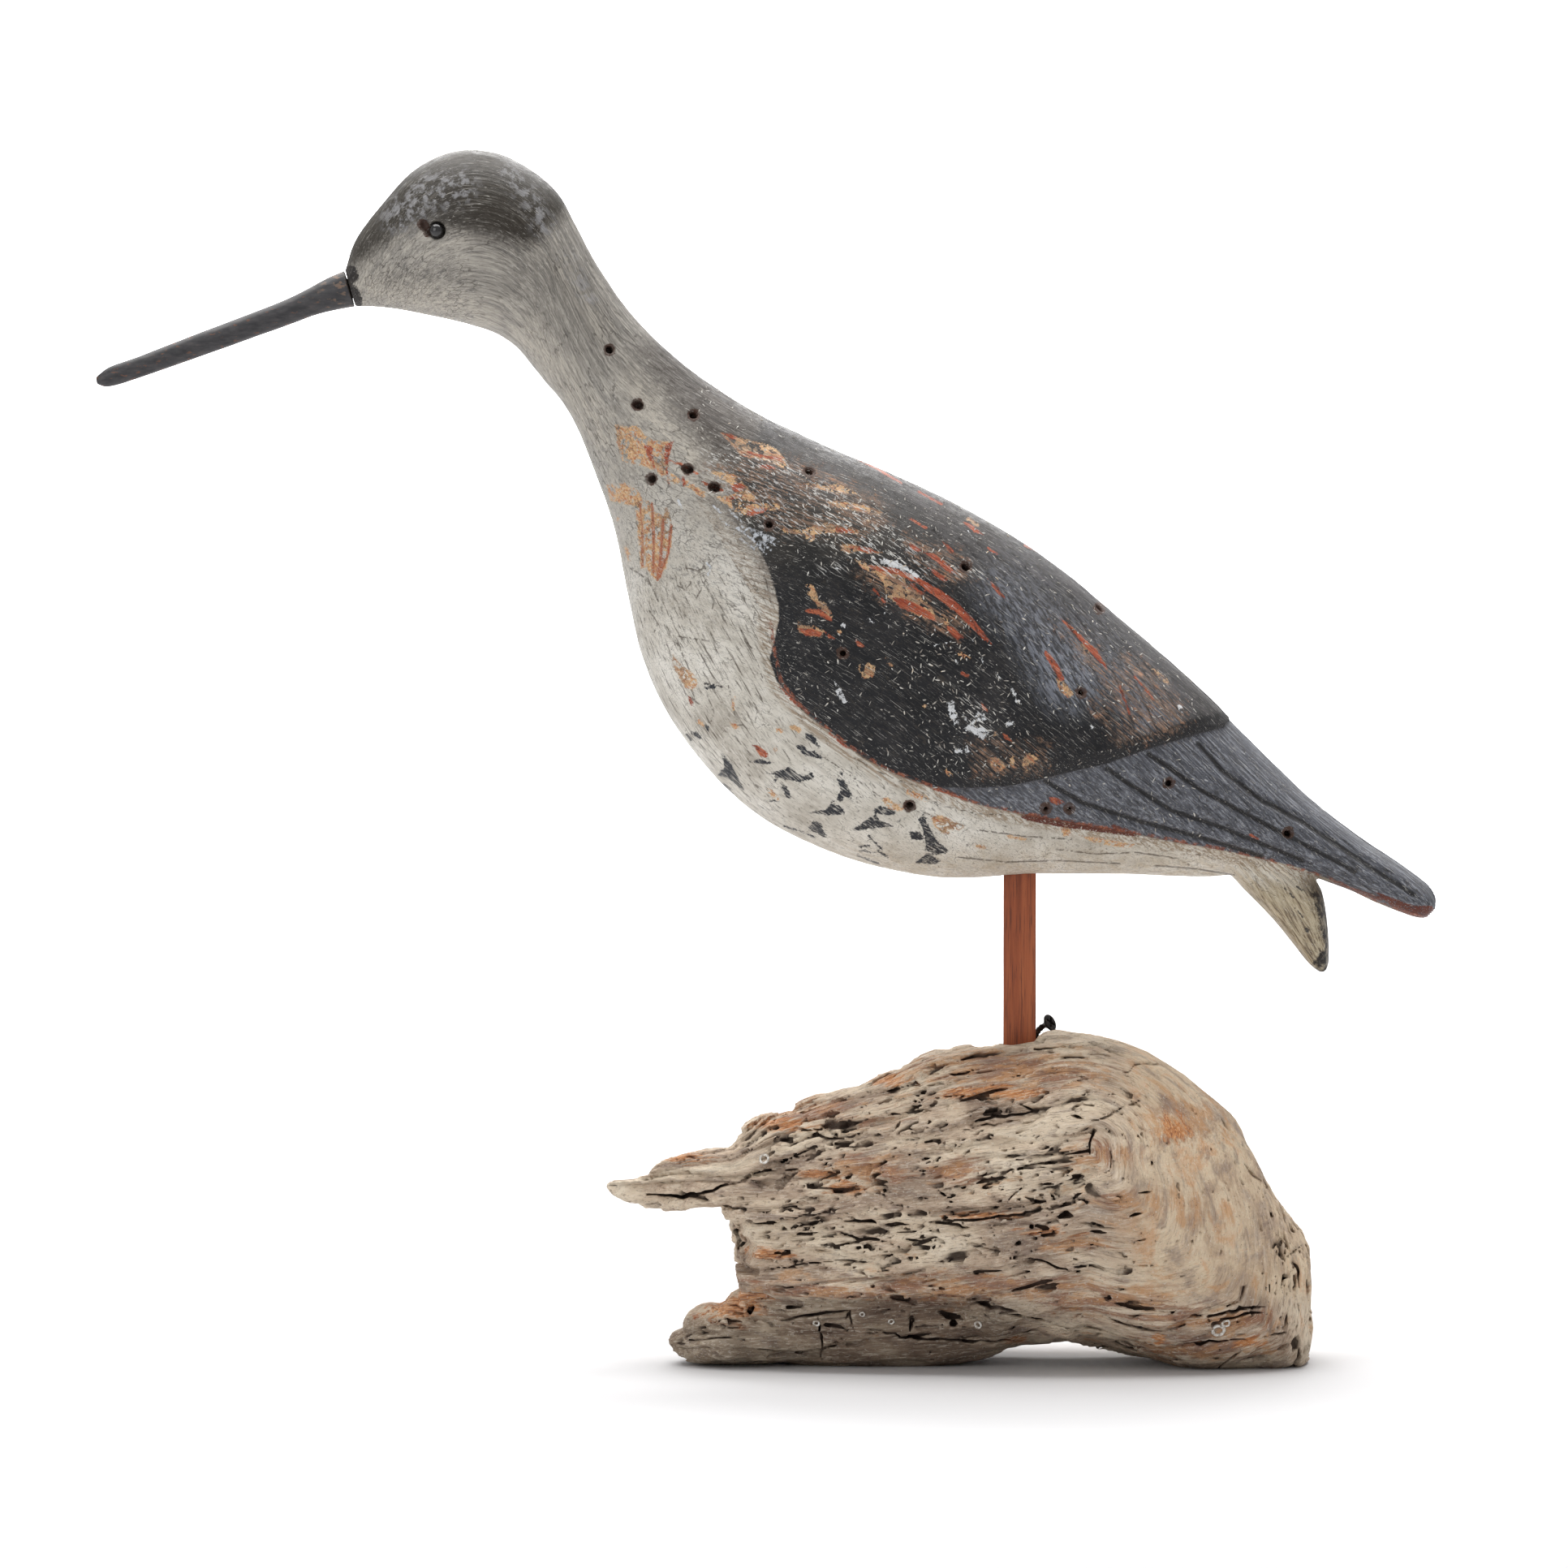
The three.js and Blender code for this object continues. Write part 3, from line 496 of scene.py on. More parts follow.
def layer_count(p, g):
    along, down = as_seen(p)
    core = np.array(CORE)
    upward = np.where(down < np.interp(along, core[:, 0], core[:, 1]), 1, -1)
    return upward * g[:, 1] / LAYER_THICKNESS + 0.9 * noise(g / [30, 11, 20], 3) + 0.25 * g[:, 2] / 9


def calm_at(p):
    """Where the wood is a smooth burl, from 0 to 1."""
    along, down = as_seen(p)
    return smooth((along - 1330) / 90) * smooth((1610 - down) / 40) * smooth((1585 - along) / 40)


def knot(along, down, at, radius, height):
    """A knot's rings, standing up round a small hollow."""
    gap = np.hypot(along - at[0], down - at[1]) / radius
    return height * np.cos(np.minimum(gap, 1.5) * 2 * math.pi) * np.exp(-gap * 1.3)


def weathering(p):
    along, down = seen = as_seen(p)
    g = grain(p)
    count = layer_count(p, g)
    saw = 1 - (count - np.floor(count))
    layers = (np.minimum(saw, 7 * (1 - saw)) - 0.4) * (0.8 + 0.8 * noise(g / [26, 9, 14], 4))
    waves = noise(g / [34, 9, 15], 1) + 0.6 * noise(g / [14, 4, 6], 2)
    calm = calm_at(p)
    near = smooth((10 - p[:, 1]) / 10)
    ridges, valleys = smooth(strokes(seen, RIDGES) / 2.4), smooth(strokes(seen, VALLEYS) / 2.6)
    forms = RIDGE_HEIGHT * ridges - VALLEY_DEPTH * valleys
    forms += knot(along, down, (915, 1611), 10, -0.9) + knot(along, down, (1440, 1385), 22, -0.4)
    rough = LAYER_HEIGHT * layers + WAVE_HEIGHT * waves
    return ((1 - calm) * rough + calm * 0.8 * waves + near * forms - 0.2) * smooth(p[:, 2] / 3)


MAP_START, MAP_END, MAP_STEP = (735, 1255), (1630, 1705), 2.0


def pare(block, band, outline):
    """Pares the block down to its outline; a coarse map holds how far places lie beyond it."""
    columns, rows = (np.arange(first, last, MAP_STEP) for first, last in zip(MAP_START, MAP_END))
    beyond = -patches(np.meshgrid(columns, rows, indexing="ij"), [outline])
    places = block.places(band)
    i = np.clip((np.stack(as_seen(places), 1) - MAP_START) / MAP_STEP, 0, np.array(beyond.shape) - 1.01)
    j, f = i.astype(int), i - i.astype(int)
    gap = sum(beyond[j[:, 0] + u, j[:, 1] + v] * np.abs(1 - u - f[:, 0]) * np.abs(1 - v - f[:, 1])
              for u, v in np.ndindex(2, 2))
    depths = block.depth.reshape(-1)
    depths[band] = np.where(places[:, 2] > 1.5, np.maximum(depths[band], gap), depths[band])


SLIT_DEPTH, RING_GAP, LEDGE_GAP = 2.0, 0.34, 0.31


def part_the_rings(block, band):
    """Slits along the grain, deep but narrow, where the layers and the year rings came apart."""
    depths = block.depth.reshape(-1)
    near = band[np.abs(depths[band]) < 3.0]
    places = block.places(near)
    kept = (places[:, 1] < 15) & (calm_at(places) < 0.8)
    near, places = near[kept], places[kept]
    g = grain(places)
    count = layer_count(places, g)
    open_here = noise(g / [9, 3.5, 5], 12) - 0.35 * calm_at(places)
    ring_slit = RING_GAP * smooth((open_here - 0.14) / 0.5) - 1.9 * np.abs(noise(g / [14, 2.1, 6], 11))
    ledge_slit = LEDGE_GAP * smooth((open_here - 0.02) / 0.4) - 4.6 * np.abs(count - np.rint(count) + 0.02)
    slit = np.maximum(ring_slit, ledge_slit)
    depths[near] = np.maximum(depths[near], np.minimum(slit, depths[near] + SLIT_DEPTH))


band, height = wood.over_surface(4.5, weathering)
wood.depth.reshape(-1)[band] -= height
pare(wood, band, OUTLINE)
plain_wood = wood.depth.copy()
part_the_rings(wood, band)
# Rings that stand open across the broken end.
for down, reach in ((1510, 1.5), (1519, 2.2), (1530, 2.1), (1542, 1.5), (1554, 0.8)):
    left = 906 + 0.2 * (down - 1500)
    start, end = from_seen(left, down, 0), from_seen(left + 60, down, -4)
    wood.gouge(start, end, reach, 0.8 * reach, flat=(1, 4.2, 1))

# Where the worms drilled: how thickly, the middle of each place and its half sizes.
DRILLED = [
    (0.9, 1150, 1410, 130, 66), (0.9, 1290, 1470, 70, 50), (1.0, 1100, 1525, 190, 38),
    (0.5, 970, 1480, 70, 60), (0.7, 1000, 1395, 80, 30), (1.5, 1590, 1555, 22, 60),
    (0.7, 1556, 1460, 20, 40), (0.5, 1390, 1535, 90, 24), (0.5, 1080, 1618, 190, 26),
    (0.6, 1530, 1615, 70, 14), (0.5, 1350, 1360, 50, 30)]


def drilled_share(p):
    """How thickly the worms drilled, more in these places and less on the far side."""
    along, down = as_seen(p)
    share = sum(thick * np.exp(-(((along - a) / ra) ** 2 + ((down - d) / rd) ** 2))
                for thick, a, d, ra, rd in DRILLED) + 0.08
    return share * np.where(p[:, 1] > 0, 0.3, 1.0) * (p[:, 2] > 3)


# Worm galleries: scoops that start shallow, run along the grain and end in a deeper hole.
GALLERIES, GALLERY_RADIUS = 2600, 0.54
rng = np.random.default_rng(7)
spots, _ = wood.surface()
odds = drilled_share(spots)
spots = spots[rng.choice(len(spots), GALLERIES, replace=False, p=odds / odds.sum())]
outs, ways = wood.slope(spots), grain_direction(spots)
along, down = as_seen(spots)
ways[:, 2] += 0.25 * smooth((1470 - down) / 90) * smooth((1400 - along) / 60)
for spot, out, way in zip(spots, outs, ways):
    way = way - out * (way @ out)
    way /= max(np.linalg.norm(way), 1e-9)
    size = GALLERY_RADIUS * rng.lognormal(0, 0.33)
    long = rng.uniform(1.5, 5.5) * (0.4 + size)
    way = way * rng.choice([-1, 1], p=[0.2, 0.8]) + rng.normal(0, 0.10, 3)
    start, end = spot - way * long * 0.6 + out * 0.15, spot + way * long * 0.4 - out * rng.uniform(0.7, 2.2)
    wood.gouge(start, end, size * 0.4, size)

# Splits that run with the grain, checks across the low slab, and hollows: width, depth, points.
SPLITS = [
    (1.0, 6, (797, 1474), (830, 1472), (858, 1471), (880, 1465), (900, 1455)), (0.5, 3, (880, 1465),
    (915, 1450), (945, 1440)), (0.45, 3, (912, 1503), (950, 1501), (985, 1496), (1012, 1494), (1032, 1486)),
    (0.45, 3, (925, 1567), (960, 1560), (985, 1557), (1012, 1553), (1055, 1552), (1100, 1556)),
    (0.7, 3, (958, 1467), (968, 1457), (974, 1448), (984, 1443)), (0.6, 3, (1150, 1501), (1200, 1500),
    (1250, 1493), (1285, 1487)), (0.7, 4, (1040, 1503), (1072, 1503), (1080, 1506)), (0.7, 4, (1150, 1506),
    (1180, 1507), (1194, 1510)), (0.6, 4, (1032, 1517), (1062, 1525), (1098, 1527)), (0.7, 4, (1112, 1524),
    (1138, 1527)), (0.6, 4, (1256, 1545), (1284, 1550), (1300, 1558), (1318, 1563)), (0.5, 3, (1196, 1531),
    (1214, 1536), (1236, 1538)), (0.8, 4, (1195, 1383), (1215, 1376), (1245, 1372), (1280, 1366)),
    (0.5, 4, (1182, 1390), (1225, 1384), (1262, 1378)), (0.8, 4, (1256, 1360), (1270, 1364), (1280, 1372)),
    (0.9, 4, (1318, 1372), (1332, 1376)), (0.6, 4, (1340, 1378), (1358, 1376), (1372, 1370), (1386, 1361)),
    (0.7, 4, (1386, 1361), (1402, 1354)), (0.9, 3, (1318, 1366), (1330, 1358)), (0.6, 4, (1343, 1418),
    (1344, 1400), (1348, 1384)), (0.6, 4, (1337, 1416), (1338, 1402)), (2.2, 6, (1306, 1495), (1318, 1497)),
    (0.8, 4, (1318, 1474), (1330, 1468)), (0.9, 4, (1388, 1498), (1404, 1491)), (0.7, 4, (1400, 1466),
    (1418, 1463)), (0.8, 4, (1075, 1640), (1110, 1643), (1150, 1648), (1190, 1652), (1225, 1651),
    (1262, 1645)), (0.5, 4, (1008, 1622), (1013, 1645), (1012, 1665), (1016, 1682)), (0.9, 4, (1011, 1640),
    (1013, 1652)), (0.5, 4, (1121, 1618), (1122, 1638), (1112, 1652)), (0.5, 3, (1048, 1612), (1052, 1645)),
    (0.8, 4, (960, 1626), (985, 1620), (1010, 1618), (1045, 1612)), (0.8, 4, (1040, 1622), (1052, 1616)),
    (2.0, 5, (1156, 1616), (1180, 1620)), (1.8, 5, (1170, 1628), (1178, 1630)), (1.2, 4, (1192, 1606),
    (1222, 1606), (1250, 1616)), (1.0, 4, (1232, 1614), (1262, 1620), (1292, 1628)), (0.7, 4, (1292, 1630),
    (1316, 1636)), (0.9, 4, (1345, 1644), (1360, 1642)), (0.8, 4, (1374, 1650), (1396, 1656), (1416, 1664)),
    (0.6, 3, (1360, 1650), (1380, 1656)), (0.8, 4, (1484, 1620), (1500, 1616), (1520, 1612), (1556, 1606)),
    (0.8, 4, (1500, 1622), (1560, 1614)), (0.6, 3, (1440, 1614), (1450, 1612)), (0.6, 3, (1440, 1660),
    (1475, 1652), (1515, 1650), (1545, 1646)), (0.6, 3, (1497, 1690), (1512, 1674), (1526, 1664)),
    (0.6, 3, (1555, 1644), (1585, 1640)), (0.5, 3, (1378, 1324), (1396, 1312), (1412, 1310), (1430, 1312),
    (1444, 1318)), (0.5, 3, (1325, 1275), (1334, 1281)), (0.7, 4, (1166, 1322), (1182, 1322), (1200, 1318)),
    (0.9, 4, (1140, 1338), (1162, 1334)), (0.5, 3, (1012, 1386), (1030, 1380), (1022, 1394)),
    (0.5, 3, (965, 1388), (1000, 1392), (1030, 1388)), (0.6, 4, (992, 1402), (1012, 1400), (1040, 1402)),
    (0.7, 4, (960, 1405), (980, 1406)), (0.7, 4, (1100, 1394), (1108, 1378)), (0.9, 4, (1095, 1374),
    (1106, 1368)), (0.6, 3, (848, 1652), (880, 1648), (912, 1646)), (0.9, 4, (832, 1656), (846, 1656)),
    (0.5, 3, (880, 1636), (900, 1634), (916, 1632)), (0.7, 4, (1260, 1470), (1275, 1476), (1288, 1480)),
    (0.7, 4, (1152, 1462), (1160, 1470), (1168, 1474)), (0.6, 4, (1240, 1476), (1252, 1464), (1262, 1458)),
    (0.8, 4, (1590, 1552), (1600, 1560), (1598, 1584)), (0.7, 4, (1584, 1546), (1594, 1540), (1602, 1532)),
    (0.9, 4, (1590, 1590), (1596, 1580)), (0.7, 4, (1562, 1492), (1566, 1500)), (0.8, 4, (1586, 1506),
    (1592, 1518)), (0.8, 4, (1533, 1436), (1540, 1446), (1550, 1452)), (0.7, 4, (1612, 1560), (1616, 1580))]


def front_of(block, along, down):
    """The place on a block's near face that is seen there, and the way out of it."""
    p = np.array([from_seen(along, down, y) for y in np.arange(-48, 40, 0.4)])
    hit = np.flatnonzero(block.sample(p) < 0)
    spot = p[hit[0]] if len(hit) else from_seen(along, down, -20)
    return spot, block.slope(spot[None])[0]


SPLIT_PIECE, SPLIT_WANDER = 9, 1.3
for wide, deep, *line in SPLITS:
    line = np.array(line, float)
    pieces = max(2, int(np.hypot(*(line[-1] - line[0])) / SPLIT_PIECE))
    t = np.linspace(0, 1, pieces + 1) * (len(line) - 1)
    bent = np.stack([np.interp(t, np.arange(len(line)), line[:, k]) for k in (0, 1)], 1)
    bent += rng.normal(0, SPLIT_WANDER, bent.shape)
    places = [front_of(wood, *spot)[0] for spot in bent]
    taper = np.clip(np.sin(np.linspace(0.25, 2.9, len(places))) + 0.2, 0, 1)
    widths = wide / 2 * rng.uniform(0.65, 1.2, len(places)) * taper
    for a, b, at_a, at_b in zip(places, places[1:], widths, widths[1:]):
        wood.gouge(a, b, at_a, at_b, flat=(1, deep / wide * 1.6, 1))

wood_points, wood_quads = wood.surface()
wood_points = soften(wood_points, wood_quads, 1)
wood.depth = plain_wood
sunk = -wood.sample(wood_points)

# Hard fibres stand up a little between the soft ones. The piece stays within its depth.
FIBRE_HEIGHT, CALM_FIBRES, HALF_DEPTH = 0.55, 0.4, 47.3
g = grain(wood_points)
fibres = np.abs(noise(g / [7, 1.3, 1.9], 6)) + 0.6 * np.abs(noise(g / [4, 0.7, 1.1], 7)) - 0.4
lift = (FIBRE_HEIGHT - CALM_FIBRES * calm_at(wood_points)) * fibres * smooth(wood_points[:, 2] / 3)
wood_points = wood_points + wood.slope(wood_points) * lift[:, None]
wood_points[:, 2] = np.maximum(wood_points[:, 2], 0)
wood_points[:, 1] = np.clip(wood_points[:, 1], -HALF_DEPTH, HALF_DEPTH)

mesh = make_mesh("driftwood", wood_points, wood_quads)
# How deep each corner lies under the uncarved surface, and how far it stands out of its small and its broad
# surroundings. The material darkens the sunk and hollow places with these as painted shade.
paint_on(mesh, "sunk", sunk)
paint_on(mesh, "bulge", bulge(wood_points, wood_quads, 6))
paint_on(mesh, "broad", bulge(wood_points, wood_quads, 40))
driftwood = thin_out("driftwood_weathered", mesh, MOST_TRIANGLES, NEAR_IS_KEPT)
wood_points = corners_of(driftwood.data)
along, down = as_seen(wood_points)
paint_on(driftwood.data, "grain", grain(wood_points))


def blots(places):
    """How far inside the nearest of some soft blots each corner lies: along, down, half sizes."""
    inside_it = np.full(len(wood_points), -1.0)
    for a, d, ra, rd in places:
        inside_it = np.maximum(inside_it, 1 - np.hypot((along - a) / ra, (down - d) / rd))
    return inside_it


# Fresh orange heartwood where it broke last, brown bands, and the darker slab under the overhang, darker
# again towards the bottom: partly the slab's own colour, partly painted shade.
ORANGE = [
    (905, 1612, 44, 22), (1012, 1445, 32, 9), (1045, 1463, 35, 9), (950, 1542, 36, 9), (1254, 1652, 22, 7),
    (1426, 1652, 8, 14), (1545, 1653, 22, 8), (835, 1425, 48, 8), (1215, 1345, 70, 12), (1290, 1515, 40, 8),
    (960, 1386, 50, 9), (1100, 1330, 44, 9), (1444, 1388, 24, 18), (1205, 1495, 60, 6)]
BROWN = [
    (1250, 1320, 150, 26), (1000, 1370, 110, 20), (1380, 1600, 110, 26), (1210, 1584, 300, 20),
    (1180, 1584, 240, 12), (1010, 1588, 100, 14), (1480, 1622, 120, 14), (1020, 1586, 120, 12),
    (1455, 1380, 60, 40), (1350, 1420, 60, 20), (1400, 1480, 90, 18), (1480, 1500, 60, 10),
    (1080, 1440, 60, 22), (1330, 1530, 60, 14), (1180, 1440, 50, 20), (1480, 1660, 110, 20)]
paint_on(driftwood.data, "orange", blots(ORANGE))
paint_on(driftwood.data, "brown", blots(BROWN))
# The slab's share: under the overhang and along the bottom, partly the wood's own darker colour and partly
# painted shade.
slab = smooth((down - 1596) / 8) * smooth((1300 - along) / 70) * smooth((along - 925) / 30)
slab = np.maximum(slab, smooth((down - 1616) / 14) * smooth((960 - along) / 30))
slab = np.maximum(slab, 0.8 * smooth((down - 1640) / 25) * smooth((1300 - along) / 60))
paint_on(driftwood.data, "slab", np.maximum(slab, 0.5 * smooth((down - 1645) / 25)))
paint_on(driftwood.data, "calm", smooth((along - 1340) / 90) * smooth((1620 - down) / 40))


class Nodes:
    """A node tree under construction: each step adds a node and gives back its result."""

    def set(self, target, value):
        if isinstance(value, bpy.types.NodeSocket):
            self.tree.links.new(value, target)
        else:
            is_colour = target.type == "RGBA" and len(value) == 3
            target.default_value = (*value, 1) if is_colour else value

    def step(self, kind, inputs=(), out=0, **options):
        made = self.tree.nodes.new(kind)
        for key, value in options.items():
            setattr(made, key, value)
        for key, value in dict(inputs).items():
            self.set(made.inputs[key], value)
        return made.outputs[out]


class Finish(Nodes):
    """A material under construction."""

    def __init__(self, name):
        self.material = bpy.data.materials.new(name)
        self.material.use_nodes = True
        self.tree = self.material.node_tree
        self.shader = self.tree.nodes["Principled BSDF"]

    def stored(self, name, vector=False):
        return self.step("ShaderNodeAttribute", attribute_name=name, out=1 if vector else 2)

    def place(self, times=None):
        """The place on the piece, in metres or in steps of which there are so many to the metre."""
        here = self.step("ShaderNodeTexCoord", out=3)
        return self.stretch(here, (times,) * 3) if times else here

    def stretch(self, place, scale):
        return self.step("ShaderNodeVectorMath", {0: place, 1: scale}, operation="MULTIPLY")

    def part(self, place, axis):
        return self.step("ShaderNodeSeparateXYZ", {0: place}, out=axis)

    def grainy(self, place, size, detail=3.0, rough=0.55, twist=0.0):
        """Random tones, so many to the unit of place, or so many along each of its axes."""
        if isinstance(size, tuple):
            place, size = self.stretch(place, size), 1.0
        return self.step("ShaderNodeTexNoise", {"Vector": place, "Scale": size, "Detail": detail,
                                                "Roughness": rough, "Distortion": twist})

    def add(self, a, b):
        return self.step("ShaderNodeMath", {0: a, 1: b}, operation="ADD")

    def both(self, a, b):
        return self.step("ShaderNodeMath", {0: a, 1: b}, operation="MULTIPLY")

    def band(self, value, low, high, to_low=0.0, to_high=1.0):
        """The value's way from low to high, eased, as a share from to_low to to_high."""
        return self.step("ShaderNodeMapRange", {0: value, 1: low, 2: high, 3: to_low, 4: to_high},
                         interpolation_type="SMOOTHSTEP")

    def where(self, name, low, high, to_low=0.0, to_high=1.0):
        """The same for a stored field."""
        return self.band(self.stored(name), low, high, to_low, to_high)

    def blend(self, share, a, b, kind="MIX"):
        made = self.step("ShaderNodeMix", data_type="RGBA", blend_type=kind, clamp_factor=True).node
        for k, value in ((0, share), (6, a), (7, b)):
            self.set(made.inputs[k], value)
        return made.outputs[2]

    def coats(self, ground, *coats):
        """Coats of colour over a ground. Each is its colour and the shares that thin it, multiplied."""
        for paint, *shares in coats:
            share = shares[0]
            for other in shares[1:]:
                share = self.both(share, other)
            ground = self.blend(share, ground, tone(*paint) if isinstance(paint, tuple) else paint)
        return ground

    def ramp(self, value, *stops):
        """Colours along a value; each stop is its place and its colour."""
        made = self.step("ShaderNodeValToRGB", {0: value}).node
        points = made.color_ramp.elements
        while len(points) < len(stops):
            points.new(0.5)
        for point, (at, *colour) in zip(points, stops):
            point.position, point.color = at, (*tone(*colour), 1)
        return made.outputs[0]

    def bump(self, height, strength, distance, under=None):
        inputs = {"Height": height, "Strength": strength, "Distance": distance}
        return self.step("ShaderNodeBump", inputs if under is None else {**inputs, "Normal": under})

    def surface(self, inputs):
        for key, value in inputs.items():
            self.set(self.shader.inputs[key], value)
        return self.material


f = Finish("bleached_wood")
place, bulky = f.stored("grain", vector=True), f.place(1000)
patchy = f.grainy(place, (0.032, 0.080, 0.06), 5.0, 0.62, 0.5)
streaks = f.grainy(place, (0.045, 0.50, 0.32), 5.0, 0.66, 0.5)
fibres = f.grainy(place, (0.22, 2.4, 1.6), 5.0, 0.62, 0.4)
spots = f.grainy(place, (0.10, 0.28, 0.22), 5.0, 0.65)
blotches = f.grainy(bulky, 0.075, 6.0, 0.68, 0.6)
crumbs = f.grainy(bulky, 1.3, 3.0, 0.7)
calm, brown = f.stored("calm"), f.stored("brown")
lively = f.band(calm, 0.0, 1.0, 1.0, 0.45)
ragged = f.add(f.add(streaks, -0.5), f.add(spots, -0.5))
orange = f.band(f.add(f.stored("orange"), f.both(ragged, 2.8)), 0.05, 0.60)
bleached = f.ramp(patchy, (0.34, 146, 126, 110), (0.45, 192, 170, 148), (0.55, 216, 198, 174),
                  (0.68, 230, 216, 194))
burl = f.ramp(blotches, (0.36, 152, 130, 114), (0.46, 200, 174, 144), (0.54, 222, 202, 172),
              (0.64, 208, 160, 116))
fresh = f.ramp(fibres, (0.36, 216, 162, 108), (0.50, 196, 128, 76), (0.62, 146, 88, 54))
# Bleached wood first, then brown and violet bands, tan and pale places, and the fresh heartwood.
colour = f.coats(
    bleached,
    (burl, calm, 0.72),
    ((146, 100, 74), f.band(f.add(streaks, f.both(brown, 0.24)), 0.53, 0.68), 0.8, lively),
    ((128, 112, 106), f.band(spots, 0.54, 0.66), 0.50),
    ((198, 150, 106), f.band(f.add(spots, f.both(brown, -0.10)), 0.47, 0.36), 0.60),
    ((228, 214, 194), f.band(streaks, 0.45, 0.30), 0.60, lively),
    (fresh, orange, 0.85))
# Multiplied into the slab: its own darker wood, and painted shade under the overhang and along the bottom.
SLAB_TONE_AND_SHADE = (0.33, 0.30, 0.285)
shade = f.both(f.stored("slab"), f.band(streaks, 0.35, 0.6, 0.65, 1.0))
colour = f.blend(f.both(shade, 0.92), colour, SLAB_TONE_AND_SHADE, "MULTIPLY")
# Fibres and crumbs in dark and light, the redder broken end, then pale raised edges, and painted shade in
# the hollows, in the broad dips and deep in the holes.
red_end = f.both(f.band(f.part(bulky, 0), -14, -22, 0.0, 0.7), f.band(f.part(bulky, 2), 30, 24))
colour = f.coats(
    colour,
    ((112, 92, 78), f.band(fibres, 0.53, 0.66, 0.0, 0.60), lively),
    ((232, 220, 204), f.band(fibres, 0.46, 0.34, 0.0, 0.45), lively),
    ((228, 222, 212), f.band(crumbs, 0.60, 0.72, 0.0, 0.55)),
    ((88, 72, 62), f.band(crumbs, 0.38, 0.28, 0.0, 0.7)),
    ((166, 76, 40), orange, red_end),
    ((226, 210, 188), f.where("bulge", 0.03, 0.30, 0.0, 0.45)),
    # Painted shade: darker in small hollows and broad dips, darkest deep in the holes and slits.
    ((92, 72, 58), f.where("bulge", -0.04, -0.42, 0.0, 0.62)),
    ((120, 98, 82), f.where("broad", -0.3, -1.8, 0.0, 0.35)),
    ((52, 40, 33), f.where("sunk", 0.6, 2.0, 0.0, 0.93)))
normal = f.bump(f.add(spots, crumbs), 0.4, 0.0008, f.bump(fibres, 0.7, 0.0006))
driftwood.data.materials.append(f.surface({
    "Base Color": colour, "Roughness": 0.82, "Normal": normal, "Specular IOR Level": 0.25}))
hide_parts("driftwood")
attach(driftwood, "root")


# THE BARNACLE SCARS
# White rings of lime that barnacles left on the driftwood where they sat, and the smaller rims
# of lime round a few worm holes. They are stuck flat to the wood.
class Recipe(Nodes):
    """A Geometry Nodes tree under construction, with its sizes as named inputs."""

    def __init__(self, name):
        self.tree = bpy.data.node_groups.new(name, "GeometryNodeTree")
        for way in ("INPUT", "OUTPUT"):
            self.tree.interface.new_socket("Geometry", in_out=way, socket_type="NodeSocketGeometry")
        self.given = self.tree.nodes.new("NodeGroupInput")
        self.result = self.tree.nodes.new("NodeGroupOutput")

    def size(self, name, kind="NodeSocketFloat"):
        self.tree.interface.new_socket(name, in_out="INPUT", socket_type=kind)
        return self.given.outputs[name]

    def stored(self, name, kind="FLOAT"):
        return self.step("GeometryNodeInputNamedAttribute", {"Name": name}, data_type=kind)

    def make(self, name, mesh, shapes, material, sizes):
        """Runs the tree once on a mesh and keeps the plain result as a piece."""
        whole = self.step("GeometryNodeRealizeInstances", {0: shapes})
        how_much = self.size("Unevenness")
        uneven = self.step("ShaderNodeTexNoise", {"Scale": 900.0, "Detail": 2.0}, out=1)
        uneven = self.step("ShaderNodeVectorMath", {0: uneven, 1: (0.5, 0.5, 0.5)}, operation="SUBTRACT")
        uneven = self.step("ShaderNodeVectorMath", {0: uneven, "Scale": how_much}, operation="SCALE")
        whole = self.step("GeometryNodeSetPosition", {0: whole, "Offset": uneven})
        finished = self.step("GeometryNodeSetMaterial", {"Geometry": whole, "Material": material})
        self.set(self.result.inputs[0], finished)
        piece = put_in_scene(name, mesh)
        maker = piece.modifiers.new("maker", "NODES")
        maker.node_group = self.tree
        for item in self.tree.interface.items_tree:
            if item.in_out == "INPUT" and item.name in sizes:
                maker[item.identifier] = sizes[item.name]
        return keep_result(piece)


# Where each ring is seen, and its radius in millimetres.
RINGS = [(942, 1427, 1.15), (1499, 1636, 1.6), (1508, 1627, 1.0), (1006, 1628, 0.8), (1098, 1626, 0.7),
         (1205, 1630, 0.9), (1062, 1617, 0.6)]
ring_places = [front_of(wood, *spot) for *spot, _ in RINGS]
mesh = bpy.data.meshes.new("ring places")
mesh.from_pydata([tuple((spot + out * 0.35) / 1000) for spot, out in ring_places], [], [])
paint_on(mesh, "facing", [out for _, out in ring_places])
paint_on(mesh, "across", [radius for *_, radius in RINGS])

limed = Recipe("barnacle rings")
round_way, section = (
    limed.step("GeometryNodeCurvePrimitiveCircle", {"Resolution": corners, "Radius": limed.size(name)})
    for corners, name in ((18, "Ring radius"), (6, "Rim thickness")))
ring = limed.step("GeometryNodeCurveToMesh", {0: round_way, 1: section})
facing = limed.stored("facing", "FLOAT_VECTOR")
turn = limed.step("FunctionNodeAlignRotationToVector", {"Vector": facing}, axis="Z")
placed = limed.step("GeometryNodeInstanceOnPoints", {
    0: limed.given.outputs[0], "Instance": ring, "Rotation": turn, "Scale": limed.stored("across")})
f = Finish("barnacle_lime")
lime = f.grainy(f.place(1000), 1.1, 3.0, 0.6)
colour = f.ramp(lime, (0.38, 170, 160, 148), (0.52, 226, 222, 214), (0.66, 244, 242, 238))
